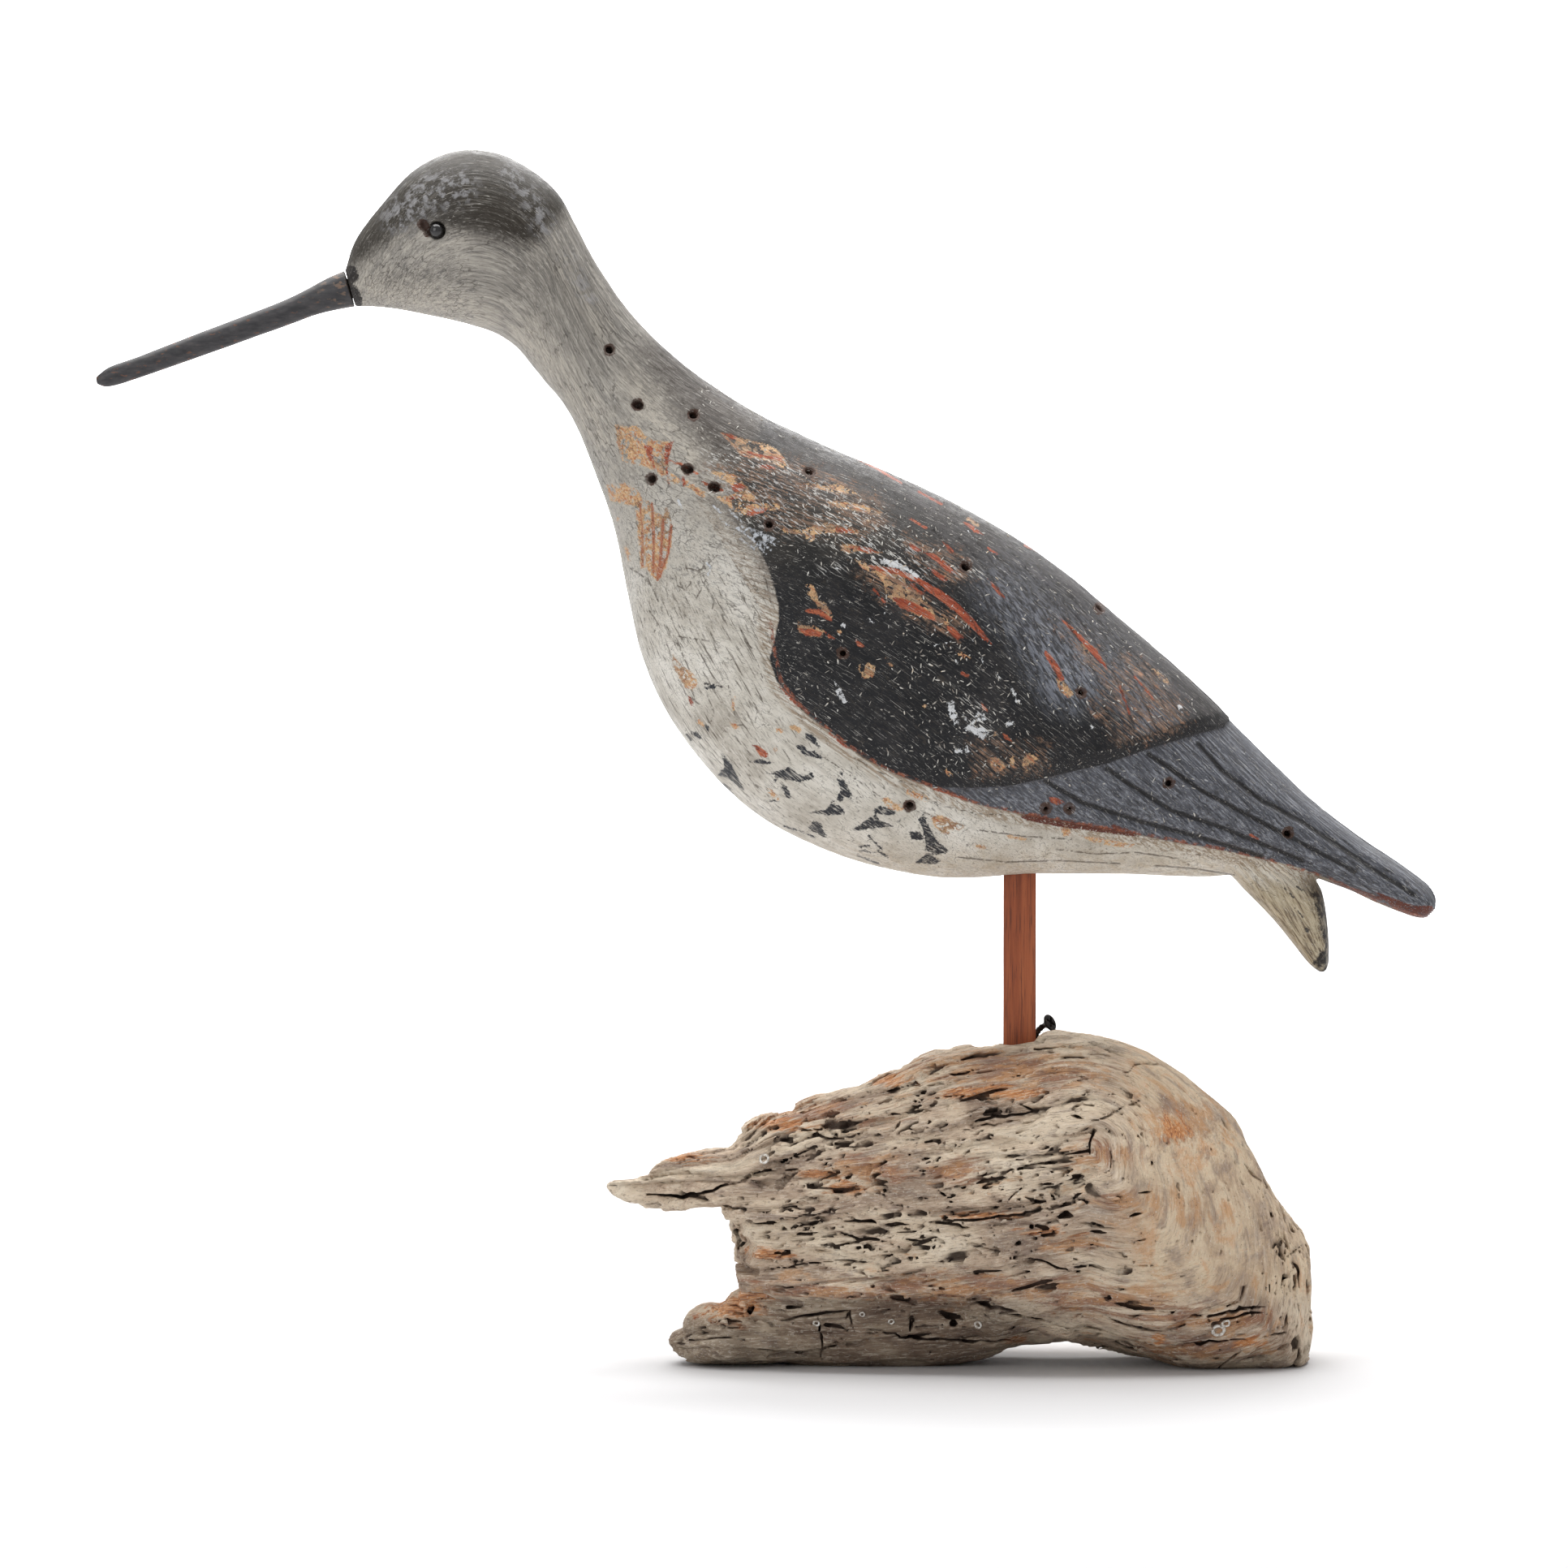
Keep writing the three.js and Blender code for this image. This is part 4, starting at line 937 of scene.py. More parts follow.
f.surface({"Base Color": colour, "Roughness": 0.7, "Normal": f.bump(lime, 0.5, 0.0004)})
barnacles = limed.make("barnacle_scars", mesh, placed, f.material,
                       {"Ring radius": 0.001, "Rim thickness": 0.0003, "Unevenness": 0.0006})
barnacles.data.shade_smooth()
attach(barnacles, "root")


# THE STICK
# A plain square length of reddish hardwood, planed on its faces. One end sits in a hole under
# the belly, the other in the driftwood.
def closed_piece(name, points, quads, ends):
    """A piece from one closed skin, with its faces turned outwards."""
    a, b, c = (points[quads[:, k]] for k in (0, 1, 2))
    if (a * np.cross(b, c)).sum() < 0:
        quads, ends = quads[:, ::-1], ends[:, ::-1]
    mesh = bpy.data.meshes.new(name)
    mesh.from_pydata((points / 1000).tolist(), [], quads.tolist() + ends.tolist())
    mesh.validate()
    mesh.shade_smooth()
    return put_in_scene(name, mesh)


STICK_EDGE = 0.4


def square_ring(side, edge, between):
    """Half of the square's side, the radius of its softened corners, points between the corners."""
    toward = lambda angle: np.array([math.cos(angle), math.sin(angle)])
    centre = lambda turn: toward(turn + math.pi / 4) * math.sqrt(2) * (side - edge)
    ring = []
    for turn in np.arange(4) * math.pi / 2:
        ring += [centre(turn) + toward(turn + a) * edge for a in np.linspace(0, math.pi / 2, 4)]
        start, after = ring[-1], turn + math.pi / 2
        end = centre(after) + toward(after) * edge
        ring += [start + (end - start) * t for t in np.linspace(0, 1, between + 2)[1:-1]]
    return np.array(ring)


ring = square_ring((stick_high[0] - stick_low[0]) / 2, STICK_EDGE, 6)
levels = np.linspace(stick_low[2], stick_high[2], 130)
rings = np.zeros((len(levels), len(ring), 3))
rings[..., :2] = ring[None]
rings[..., 2] = levels[:, None]
places = rings.reshape(-1, 3)
uneven = 0.06 * noise(places / [3, 3, 22], 21) + 0.04 * noise(places / [0.9, 0.9, 9], 22)
rings[..., :2] *= 1 - 0.02 + 0.2 * np.minimum(uneven, 0.09).reshape(rings.shape[:2])[..., None]
rings[..., :2] += MIDDLE[:2]
stick = closed_piece("stick_planed", *skin(rings))

f = Finish("reddish_hardwood")
place = f.place()
lines = f.grainy(place, (1500, 900, 45), 4.0, 0.6, 0.6)
broad = f.grainy(place, (420, 300, 14), 3.0, 0.5)
pores = f.grainy(place, (4200, 4200, 130), 2.0, 0.5)
colour = f.coats(
    f.ramp(broad, (0.3, 112, 54, 30), (0.5, 150, 78, 46), (0.7, 172, 98, 60)),
    ((88, 46, 31), f.band(lines, 0.50, 0.66, 0.0, 0.6)),
    ((70, 38, 28), f.band(pores, 0.58, 0.68, 0.0, 0.6)))
normal = f.bump(pores, 0.25, 0.0002)
stick.data.materials.append(f.surface({
    "Base Color": colour, "Roughness": 0.5, "Normal": normal, "Specular IOR Level": 0.35}))
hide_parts("stick")
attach(stick, "root")


# THE WEDGE SCREW
# A small blackened wood screw driven in askew behind the stick to hold it tight. Its end stands
# out of the wood and has been bent over, so that the head faces the front.
SCREW_SHANK, SCREW_LENGTH, SCREW_LEAN = 1.8, 17, math.radians(25)
THREAD_PITCH, THREAD_HEIGHT, SLOT, SLOT_LENGTH = 1.1, 0.2, 0.75, 2.7
SCREW_HEAD_AT = from_seen(1289, 1260, 7.0)
HEAD_FACES = np.array([0.74, -0.52, 0.43])
# The rim of the head: radius, and height over its flat face.
HEAD_RIM = [[1.5, -1.2], [2.2, -0.65], [2.42, -0.45], [2.45, -0.25], [2.3, -0.05], [1.9, 0.0], [1.4, 0.03],
            [0.8, 0.04], [0.2, 0.05]]


def turned(outline, count, thread=0.0):
    """A turned shape, from radius and height pairs, with an optional thread along it."""
    angle = np.linspace(0, 2 * math.pi, count, endpoint=False)
    outline = np.array(outline, float)
    r, z = outline[:, :1], outline[:, 1:]
    turn = (z / THREAD_PITCH - angle[None] / (2 * math.pi)) % 1
    r = r + thread * (1 - 2 * np.abs(turn - 0.5)) * ((z < -3.0) & (r > 0.5))
    return np.stack([r * np.cos(angle), r * np.sin(angle), z + 0 * angle[None]], -1)


shank = SCREW_SHANK / 2
outline = [[0.06, -SCREW_LENGTH]]
for d in np.arange(0.1, SCREW_LENGTH - 2.4, 0.14):
    outline.append([shank * min(1, 0.15 + d / 3.0) - THREAD_HEIGHT, -SCREW_LENGTH + d])
outline += [[shank - THREAD_HEIGHT, -2.3], [shank, -2.0]] + HEAD_RIM
head = Blank([skin(turned(outline, 40, THREAD_HEIGHT))], 0.11, reach=0.5)
for turn in (0.5, 0.5 + math.pi / 2):
    arm = np.array([math.cos(turn), math.sin(turn), 0]) * SLOT_LENGTH / 2
    head.gouge(-arm + [0, 0, 0.1], arm + [0, 0, 0.1], SLOT / 2, SLOT / 2, flat=(1, 1, 2.2))
points, quads = head.surface()
points = soften(points, quads, 1)

# The shank is bent over above the wood, from the way it was driven to the way its head faces.
way = np.array([math.sin(SCREW_LEAN), 0, math.cos(SCREW_LEAN)])
across = np.array([math.cos(SCREW_LEAN), 0, -math.sin(SCREW_LEAN)])
axis = np.cross(way, HEAD_FACES) / np.linalg.norm(np.cross(way, HEAD_FACES))
BEND_START, BEND_RUN = -6.5, 4.5
levels = np.linspace(-SCREW_LENGTH - 0.5, 0.5, 200)
turns = math.acos(way @ HEAD_FACES) * smooth((levels - BEND_START) / BEND_RUN)


def swing(v, by):
    """A direction swung about the axis of the bend."""
    by = by[:, None]
    return v * np.cos(by) + np.cross(axis, v) * np.sin(by) + axis * (v @ axis) * (1 - np.cos(by))


spine = np.cumsum(swing(way, turns), axis=0) * (levels[1] - levels[0])
spine += SCREW_HEAD_AT - spine[np.searchsorted(levels, -0.3)]
by = np.interp(points[:, 2], levels, turns)
middle_of = np.stack([np.interp(points[:, 2], levels, spine[:, k]) for k in range(3)], 1)
points = middle_of + points[:, :1] * swing(across, by) + points[:, 1:2] * swing(np.array([0.0, 1, 0]), by)
low, high = box_of("wedge_screw")
points += np.maximum(low + 0.02 - points.min(0), 0) + np.minimum(high - 0.02 - points.max(0), 0)
screw = thin_out("wedge_screw_slotted", make_mesh("wedge_screw", points, quads), 24000)

f = Finish("blackened_steel")
spots = f.grainy(f.place(), 900, 4.0, 0.6)
colour = f.ramp(spots, (0.35, 30, 28, 28), (0.55, 48, 45, 44), (0.72, 92, 72, 60))
screw.data.materials.append(f.surface({
    "Base Color": colour, "Metallic": 0.75, "Roughness": 0.48, "Normal": f.bump(spots, 0.3, 0.0001)}))
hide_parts("wedge_screw")
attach(screw, "root")


# THE BIRD
# Head, neck, body, folded wings and tail, whittled from one block of reddish wood. The oil paint
# is old: crackled, rubbed through to a tan ground and red wood, and peppered with bird shot.
BIRD_LENGTH, BODY_WIDTH, STICK_IN = 366, 70, 69.0
STICK_IN_BODY = 20
BIRD_UNIT, WIDTH_UNIT = BIRD_LENGTH / 100, BODY_WIDTH / 100
BIRD_AT = np.array([MIDDLE[0] - STICK_IN * BIRD_UNIT, MIDDLE[1], stick_high[2] - STICK_IN_BODY])
# Hundredths of the length: top along and up, bottom along and up, hundredths of the width.
TRUNK = [
    [18.6, 45.2, 19.4, 42.5, 7.4], [19.4, 47.5, 20.7, 42.5, 11.4], [21.3, 50.1, 22.6, 42.3, 16.4],
    [23.8, 52.7, 25.0, 41.8, 21.4], [26.8, 54.1, 27.7, 41.2, 25.0], [29.8, 54.0, 29.8, 40.5, 25.7],
    [32.3, 52.8, 31.2, 39.6, 24.6], [34.4, 51.0, 32.3, 38.4, 22.9], [35.9, 48.4, 33.5, 36.9, 21.1],
    [37.4, 45.6, 34.8, 35.3, 20.3], [39.5, 42.5, 36.2, 32.8, 20.9], [42.0, 39.8, 37.4, 29.7, 23.6],
    [45.0, 37.3, 38.5, 26.6, 28.6], [49.2, 34.6, 39.5, 22.0, 35.7], [54.1, 32.2, 40.6, 16.8, 42.5],
    [58.9, 30.2, 42.3, 12.7, 46.4], [63.8, 27.9, 45.0, 8.7, 48.4], [68.6, 25.2, 49.2, 4.6, 48.8],
    [72.3, 22.6, 55.3, 1.5, 48.0], [75.9, 19.6, 62.6, -0.2, 46.0], [79.6, 16.4, 69.9, 0.0, 42.0],
    [83.2, 13.0, 76.5, 0.0, 37.0], [86.8, 9.4, 83.2, -0.2, 31.5], [90.5, 5.8, 88.7, 0.3, 26.0],
    [94.1, 2.9, 92.9, -0.9, 21.8], [97.8, 0.4, 96.8, -2.6, 17.6], [99.5, -1.0, 99.1, -3.2, 13.6],
    [100.0, -1.9, 99.9, -2.6, 9.0]]
TAIL = [
    [83.2, 1.6, 90.5, 2.9, 22.9], [85.6, -0.9, 91.1, -0.3, 23.6], [86.8, -2.1, 91.6, -1.4, 24.3],
    [88.1, -3.5, 91.9, -2.9, 24.3], [89.3, -5.0, 92.1, -4.7, 23.6], [90.6, -6.6, 92.1, -6.3, 22.1],
    [91.4, -7.2, 92.0, -6.9, 19.3]]
LEDGE = [
    [50.3, 19.4], [50.6, 17.2], [51.1, 15.0], [52.6, 13.2], [53.8, 12.1], [56.2, 10.2], [58.9, 8.5],
    [62.6, 7.1], [65.6, 5.9], [69.3, 5.1], [74.1, 4.2], [77.7, 3.5], [83.8, 2.3], [87.4, 1.4], [92.3, -0.2],
    [95.3, -1.8], [99.3, -3.3]]
SHELF = [
    [62.6, 7.2], [65.6, 7.2], [68.0, 7.3], [70.5, 7.8], [72.9, 8.4], [75.3, 8.9], [77.7, 9.7], [80.2, 10.4],
    [82.6, 11.0], [84.1, 11.2]]
GROOVES = [
    [[82.2, 10.2], [83.0, 9.4], [83.9, 8.3], [87.0, 5.9], [90.1, 4.2], [96.3, 0.0], [98.4, -1.3]],
    [[78.5, 9.5], [79.9, 8.6], [82.4, 6.8], [85.5, 5.1], [90.9, 2.2], [94.0, 0.5]], [[75.4, 8.5],
    [76.8, 7.5], [80.2, 5.3], [83.9, 4.0], [90.1, 1.3]], [[70.8, 7.6], [73.7, 5.9], [77.8, 4.5],
    [82.4, 3.2], [87.0, 1.7]]]
LEDGE_HEIGHT, SHELF_HEIGHT, SHELF_LIP, FADE = 1.1, 1.9, 1.1, 0.10
GROOVE_DEPTH, GROOVE_WIDTH = 0.9, 2.2
TIP_NOTCH_WIDTH, TIP_NOTCH_LENGTH = 5, 20
BACK_GROOVE_DEPTH, BACK_GROOVE_WIDTH = 1.6, 5


def bird_sections(rows, steps, width=WIDTH_UNIT):
    """The upper and lower outline and half the width, closely spaced."""
    rows = np.array(rows)
    t = np.linspace(0, 1, (len(rows) - 1) * steps + 1)
    units = np.array([BIRD_UNIT, width, BIRD_UNIT])
    upper = bend_through(rows[:, [0, 4, 1]] * units, t)
    lower = bend_through(rows[:, [2, 4, 3]] * units, t)
    half = np.maximum(upper[:, 1], 0.1)
    upper[:, 1] = lower[:, 1] = 0
    return upper, lower, half


def bird_rings(rows, steps, roundness, width=WIDTH_UNIT, around=200):
    """Closed rings between the upper and lower outline."""
    upper, lower, half = bird_sections(rows, steps, width)
    angle = np.linspace(0, 2 * math.pi, around, endpoint=False)[None, :, None]
    up, side = ((upper - lower) / 2)[:, None], np.array([0, 1, 0]) * half[:, None, None]
    ring = up * squarish(np.cos(angle), roundness) + side * squarish(np.sin(angle), roundness)
    return ((upper + lower) / 2)[:, None] + ring + BIRD_AT


def to_line(x, z, line):
    """Distance to a line of points in the bird's own units, in millimetres, and how far along it."""
    line = np.array(line) * BIRD_UNIT + BIRD_AT[[0, 2]]
    best, place, run = np.full(x.shape, 1e9), np.zeros(x.shape), 0.0
    for a, b in zip(line, line[1:]):
        u = b - a
        t = np.clip(((x - a[0]) * u[0] + (z - a[1]) * u[1]) / (u @ u), 0, 1)
        gap = np.hypot(x - a[0] - t * u[0], z - a[1] - t * u[1])
        place = np.where(gap < best, run + t * np.hypot(*u), place)
        best = np.minimum(gap, best)
        run += np.hypot(*u)
    return best, place


def own_units(points):
    return [list(np.array(p) * BIRD_UNIT + BIRD_AT[[0, 2]]) for p in points]


OVER_THE_BACK = [[78, 32], [46, 46], [44, 30]]
WING = own_units(LEDGE + [[101, -3.6], [102, 6]] + OVER_THE_BACK)
COVERTS = own_units([p for p in LEDGE if p[0] < SHELF[0][0]] + SHELF + [[86.5, 13]] + OVER_THE_BACK)


def bird_relief(p, out):
    """How far the carving stands out of the plain body, in millimetres."""
    x, z = p[:, 0], p[:, 2]
    wing, upper = inside(x, z, WING), inside(x, z, COVERTS)
    edge, _ = to_line(x, z, LEDGE)
    shelf, _ = to_line(x, z, SHELF)
    fade = FADE * BIRD_LENGTH
    start = smooth(np.hypot(x - WING[0][0], z - WING[0][1]) / (0.55 * fade))
    crisp = smooth(np.where(wing, edge, -edge) / 0.9 + 0.5)
    swell = crisp * (LEDGE_HEIGHT * start * (1 - smooth(edge / fade)) + 0.05)
    near = np.where(upper, shelf, -shelf)
    front = smooth((x - own_units(SHELF)[0][0]) / 14)
    shelf_height = SHELF_LIP + (SHELF_HEIGHT - SHELF_LIP) * smooth(near / 4.2)
    swell += front * smooth(near / 0.8 + 0.5) * shelf_height * (1 - smooth(shelf / fade)) * wing
    groove = np.zeros(len(x))
    for line in GROOVES:
        gap, run = to_line(x, z, line)
        length = sum(math.dist(a, b) for a, b in zip(line, line[1:])) * BIRD_UNIT
        ends = np.clip(0.35 + run / 6, 0, 1) * np.clip(0.2 + (length - run) / 9, 0, 1)
        one = GROOVE_DEPTH * ends * np.clip(1 - gap / (0.62 * GROOVE_WIDTH), 0, 1) ** 0.8
        groove = np.maximum(groove, one)
    swell = (swell - groove * (~upper | (shelf < 0.4))) * np.clip(np.abs(out[:, 1]) * 1.6, 0, 1) ** 0.6
    along_back = smooth((x - own_units([[75.9, 0]])[0][0]) / (14.6 * BIRD_UNIT))
    hollow = np.clip(1 - np.abs(p[:, 1] - MIDDLE[1]) / (BACK_GROOVE_WIDTH / 2), 0, 1)
    return swell - BACK_GROOVE_DEPTH * along_back * hollow * (out[:, 2] > 0.2)


CELL = 0.45
TRUNK_ROUNDNESS, TAIL_ROUNDNESS = 2.12, 3.2
trunk, tail = bird_rings(TRUNK, 10, TRUNK_ROUNDNESS), bird_rings(TAIL, 10, TAIL_ROUNDNESS)
bird = Blank([skin(trunk), skin(tail)], CELL, reach=3.0)

# The opening between the two wing tips.
end = BIRD_AT[0] + 101 * BIRD_UNIT
start = BIRD_AT[0] + 100 * BIRD_UNIT - TIP_NOTCH_LENGTH
depth, p = bird.room([start, -9, BIRD_AT[2] - 20], [end, 9, BIRD_AT[2] + 40])
notch = TIP_NOTCH_WIDTH / 2 * (p[..., 0] - start) / (end - start) - np.abs(p[..., 1] - MIDDLE[1])
np.maximum(depth, notch, out=depth)

# The holes for the bill, the eyes and the stick. The edge of each eye hole is chipped towards the bill.
SEAM = 0.3
BILL_ROOT = BIRD_AT + np.array([19.0, 0, 43.85]) * BIRD_UNIT
BILL_TIP = BIRD_AT + np.array([0.05, 0, 36.95]) * BIRD_UNIT
INTO_FACE = (BILL_ROOT - BILL_TIP) / np.linalg.norm(BILL_ROOT - BILL_TIP)
BILL_HOLE, BILL_HOLE_DEPTH = 5.6, 9.8
bird.gouge(BILL_ROOT, BILL_ROOT + INTO_FACE * BILL_HOLE_DEPTH, BILL_HOLE / 2, BILL_HOLE / 2)
for name, hand in (("eye_left", -1), ("eye_right", 1)):
    eye = sum(box_of(name)) / 2
    bird.gouge(eye - [0, hand * 0.2, 0], eye + [0, hand * 6, 0], 2.45, 2.6)
    bird.gouge(eye + [-3.3, -hand * 0.4, 1.4], eye + [-3.3, hand * 6, 1.4], 1.25, 1.7, flat=(1, 1, 1.5))
    bird.gouge(eye + [-2.2, -hand * 0.6, -0.2], eye + [-2.6, hand * 6, -0.4], 1.0, 1.6, flat=(1, 1, 1.2))
half_hole = (stick_high - stick_low) / 2 + SEAM
depth, p = bird.room(MIDDLE + [-6, -6, -60], MIDDLE + [6, 6, 60])
room = np.minimum(*(half_hole[k] - np.abs(p[..., k] - MIDDLE[k]) for k in (0, 1)))
np.maximum(depth, np.minimum(room, stick_high[2] + SEAM - p[..., 2]), out=depth)

# Where the shot holes are seen. Some pellets came in at a slant, and left a longer hole: along and down.
SHOT = [
    (752, 433), (786, 500), (855, 513), (803, 592), (848, 580), (880, 602), (948, 648), (997, 583),
    (1189, 700), (1354, 750), (1038, 806), (1330, 854), (1120, 993), (1287, 996), (1316, 996), (1438, 965),
    (1585, 1026)]
LONG_SHOT = {(786, 500): (7, 4), (848, 580): (8, 0), (880, 602): (8, 3), (803, 592): (3, 0)}
SHOT_RADIUS, SHOT_DEPTH, RIM_HEIGHT = (1.15, 1.35), 2.6, 0.5
rng = np.random.default_rng(11)
for place in SHOT:
    spot, out = front_of(bird, *place)
    drift = LONG_SHOT.get(place, (0, 0))
    slant = np.array([drift[0], 0, -drift[1]]) / STEPS
    size = rng.uniform(*SHOT_RADIUS)
    bird.gouge(spot - slant / 2 + out * RIM_HEIGHT, spot + slant / 2 - out * SHOT_DEPTH, size, size * 0.85)
    bird.gouge(spot - slant * 0.8 + out * 0.6, spot + slant * 0.8 + out * 0.3, size * 1.05, size * 0.9)


def seen_from_side(p):
    """Places as seen from the bird's left, with its right half turned over onto the left."""
    near = p.copy()
    near[:, 1] = MIDDLE[1] - np.abs(p[:, 1] - MIDDLE[1])
    return as_seen(near)


# Bare places, from the side: pale ground first, then red wood, then places rubbed thin.
TAN = [
    [(748, 598), (770, 596), (786, 606), (794, 616), (786, 626), (752, 618)], [(758, 524), (775, 528),
    (785, 525), (795, 537), (806, 545), (828, 546), (824, 562), (826, 600), (812, 585), (800, 578),
    (768, 570), (760, 545)], [(783, 622), (800, 618), (806, 632), (818, 636), (822, 622), (830, 652),
    (828, 675), (822, 700), (812, 717), (804, 712), (796, 700), (790, 702)], [(888, 535), (945, 549),
    (958, 556), (966, 566), (970, 579), (958, 577), (945, 569), (915, 565)], [(870, 580), (905, 586),
    (923, 604), (912, 607)], [(880, 613), (895, 613), (922, 605), (937, 622), (958, 622), (963, 628),
    (920, 637), (905, 631)], [(991, 598), (1005, 597), (1020, 601), (1032, 597), (1058, 610), (1040, 610),
    (1008, 604)], [(1018, 619), (1036, 619), (1070, 625), (1088, 632), (1086, 637), (1026, 626)],
    [(958, 652), (985, 655), (1018, 645), (1060, 656), (1056, 660), (1030, 658), (1005, 660), (1002, 670),
    (994, 668), (992, 659), (970, 659)], [(1032, 673), (1048, 671), (1088, 682), (1076, 685), (1058, 681),
    (1044, 684), (1036, 680)], [(1052, 690), (1070, 697), (1092, 700), (1112, 708), (1117, 722),
    (1146, 748), (1153, 764), (1140, 764), (1122, 757), (1104, 746), (1093, 737), (1088, 722), (1080, 709),
    (1062, 703)], [(983, 766), (990, 772), (1002, 772), (1016, 779), (1012, 787), (996, 785), (983, 780)],
    [(992, 722), (1002, 722), (1008, 738), (1018, 746), (1026, 760), (1022, 767), (996, 735)], [(828, 805),
    (840, 820), (855, 830), (861, 843), (853, 852), (843, 847), (830, 822)], [(1084, 984), (1092, 982),
    (1104, 990), (1115, 992), (1112, 1000), (1100, 998), (1090, 992)], [(1146, 1004), (1158, 1003),
    (1188, 1018), (1180, 1024), (1165, 1021), (1176, 1032), (1165, 1030), (1154, 1022), (1148, 1014)],
    [(1216, 934), (1226, 932), (1240, 946), (1230, 950), (1220, 944)], [(1258, 936), (1266, 928),
    (1276, 925), (1279, 933), (1264, 951), (1258, 945)], [(1243, 930), (1249, 932), (1249, 948),
    (1243, 944)], [(1058, 820), (1068, 817), (1078, 822), (1076, 834), (1064, 838), (1057, 830)],
    [(1298, 836), (1306, 836), (1322, 856), (1314, 861), (1304, 852)], [(1304, 1018), (1318, 1018),
    (1318, 1030), (1308, 1030)], [(1326, 1028), (1398, 1040), (1392, 1045), (1350, 1040)]]
TAN_SPOTS = [
    (9, (826, 588), (834, 594)), (8, (846, 597), (866, 611)), (6, (903, 892), (908, 897)), (6, (861, 889),
    (866, 893)), (6, (956, 899), (962, 901)), (7, (976, 896), (984, 900)), (6, (955, 924)), (6, (948, 974),
    (958, 984)), (6, (1034, 780)), (7, (1118, 976), (1140, 984)), (4, (905, 860), (903, 876)),
    (5, (1165, 950), (1170, 955)), (5, (1138, 870)), (6, (1225, 905)), (5, (1180, 806), (1192, 812)),
    (4, (1090, 812), (1098, 822)), (5, (1192, 640), (1204, 648)), (6, (1160, 760), (1166, 770)),
    (5, (1420, 826), (1436, 840)), (6, (1332, 796), (1340, 803)), (5, (762, 640)), (5, (772, 676),
    (776, 690)), (5, (1200, 1042), (1212, 1044)), (4, (1094, 995)), (4, (1240, 1030), (1262, 1034))]
RED = [
    [(793, 549), (806, 552), (804, 560), (809, 582), (802, 572)], [(821, 549), (831, 545), (824, 566),
    (823, 582), (827, 602), (822, 592), (819, 566)], [(888, 535), (900, 536), (912, 541), (902, 543)],
    [(912, 555), (938, 562), (966, 565), (962, 569), (938, 566), (924, 562)], [(934, 576), (945, 574),
    (958, 579), (944, 580)], [(900, 600), (912, 597), (922, 602), (914, 607), (904, 608)], [(886, 617),
    (900, 613), (912, 614), (900, 618)], [(918, 634), (930, 628), (948, 628), (940, 634), (926, 638)],
    [(1024, 651), (1040, 652), (1060, 658), (1046, 659), (1030, 656)], [(1036, 674), (1060, 674),
    (1086, 682), (1074, 684)], [(1064, 697), (1104, 702), (1126, 710), (1166, 733), (1197, 762),
    (1221, 795), (1211, 790), (1180, 758), (1128, 719), (1104, 709), (1080, 705)], [(1096, 736),
    (1110, 738), (1130, 746), (1146, 756), (1154, 768), (1108, 750)], [(1138, 682), (1150, 684),
    (1180, 708), (1170, 708)], [(1140, 700), (1152, 704), (1168, 718), (1158, 716)], [(1163, 770),
    (1174, 774), (1186, 787), (1178, 789), (1168, 780)], [(1116, 670), (1128, 674), (1136, 682),
    (1124, 680)], [(1158, 667), (1168, 673), (1178, 684), (1170, 682)], [(1184, 643), (1196, 647),
    (1212, 660), (1200, 657)], [(1214, 713), (1228, 724), (1240, 742), (1228, 732)], [(990, 752),
    (1010, 752), (1026, 764), (1024, 768), (1008, 758), (994, 757)], [(982, 775), (1000, 776), (1013, 780),
    (1010, 786), (992, 784)], [(1014, 777), (1030, 789), (1020, 787)], [(1052, 787), (1067, 798),
    (1056, 798)], [(1303, 761), (1314, 768), (1350, 802), (1364, 826), (1356, 820)], [(1281, 800),
    (1290, 804), (1302, 820), (1310, 838), (1304, 840)], [(926, 917), (936, 920), (946, 927), (947, 933),
    (939, 934)], [(1207, 866), (1214, 872), (1216, 878), (1209, 874)], [(1232, 903), (1240, 906),
    (1246, 914), (1238, 912)], [(1291, 981), (1302, 983), (1311, 989), (1300, 992), (1292, 988)],
    [(1692, 1098), (1742, 1116), (1764, 1116), (1768, 1126), (1748, 1134), (1720, 1122)], [(1262, 1002),
    (1400, 1026), (1398, 1031), (1300, 1018), (1262, 1010)]]
RED_LINES = [
    (5, (1630, 1086), (1660, 1094), (1700, 1108)), (3, (789, 624), (792, 660), (792, 698)),
    (3.5, (804, 622), (806, 660), (806, 706)), (3.5, (818, 642), (816, 672), (811, 716)), (3, (828, 648),
    (824, 682), (814, 712)), (3, (824, 570), (840, 574), (860, 586)), (4, (842, 590), (844, 600)),
    (4, (866, 596), (890, 606)), (4, (850, 860), (853, 868)), (3, (1046, 560), (1080, 578), (1110, 596)),
    (3, (1130, 606), (1160, 622)), (3, (1216, 676), (1228, 684)), (3, (1262, 672), (1280, 680)),
    (3, (1120, 640), (1140, 652)), (4, (1184, 830), (1192, 834)), (4, (1322, 1017), (1336, 1019)),
    (4, (1368, 1017), (1388, 1023)), (4, (1258, 1006), (1302, 1012)), (3, (960, 846), (984, 872)),
    (3, (1022, 904), (1044, 922)), (3, (1150, 972), (1186, 984)), (3, (1120, 720), (1136, 734)),
    (3, (1076, 728), (1090, 744)), (3, (1538, 1028), (1548, 1034)), (3, (1396, 834), (1420, 862)),
    (3, (1378, 846), (1390, 880))]
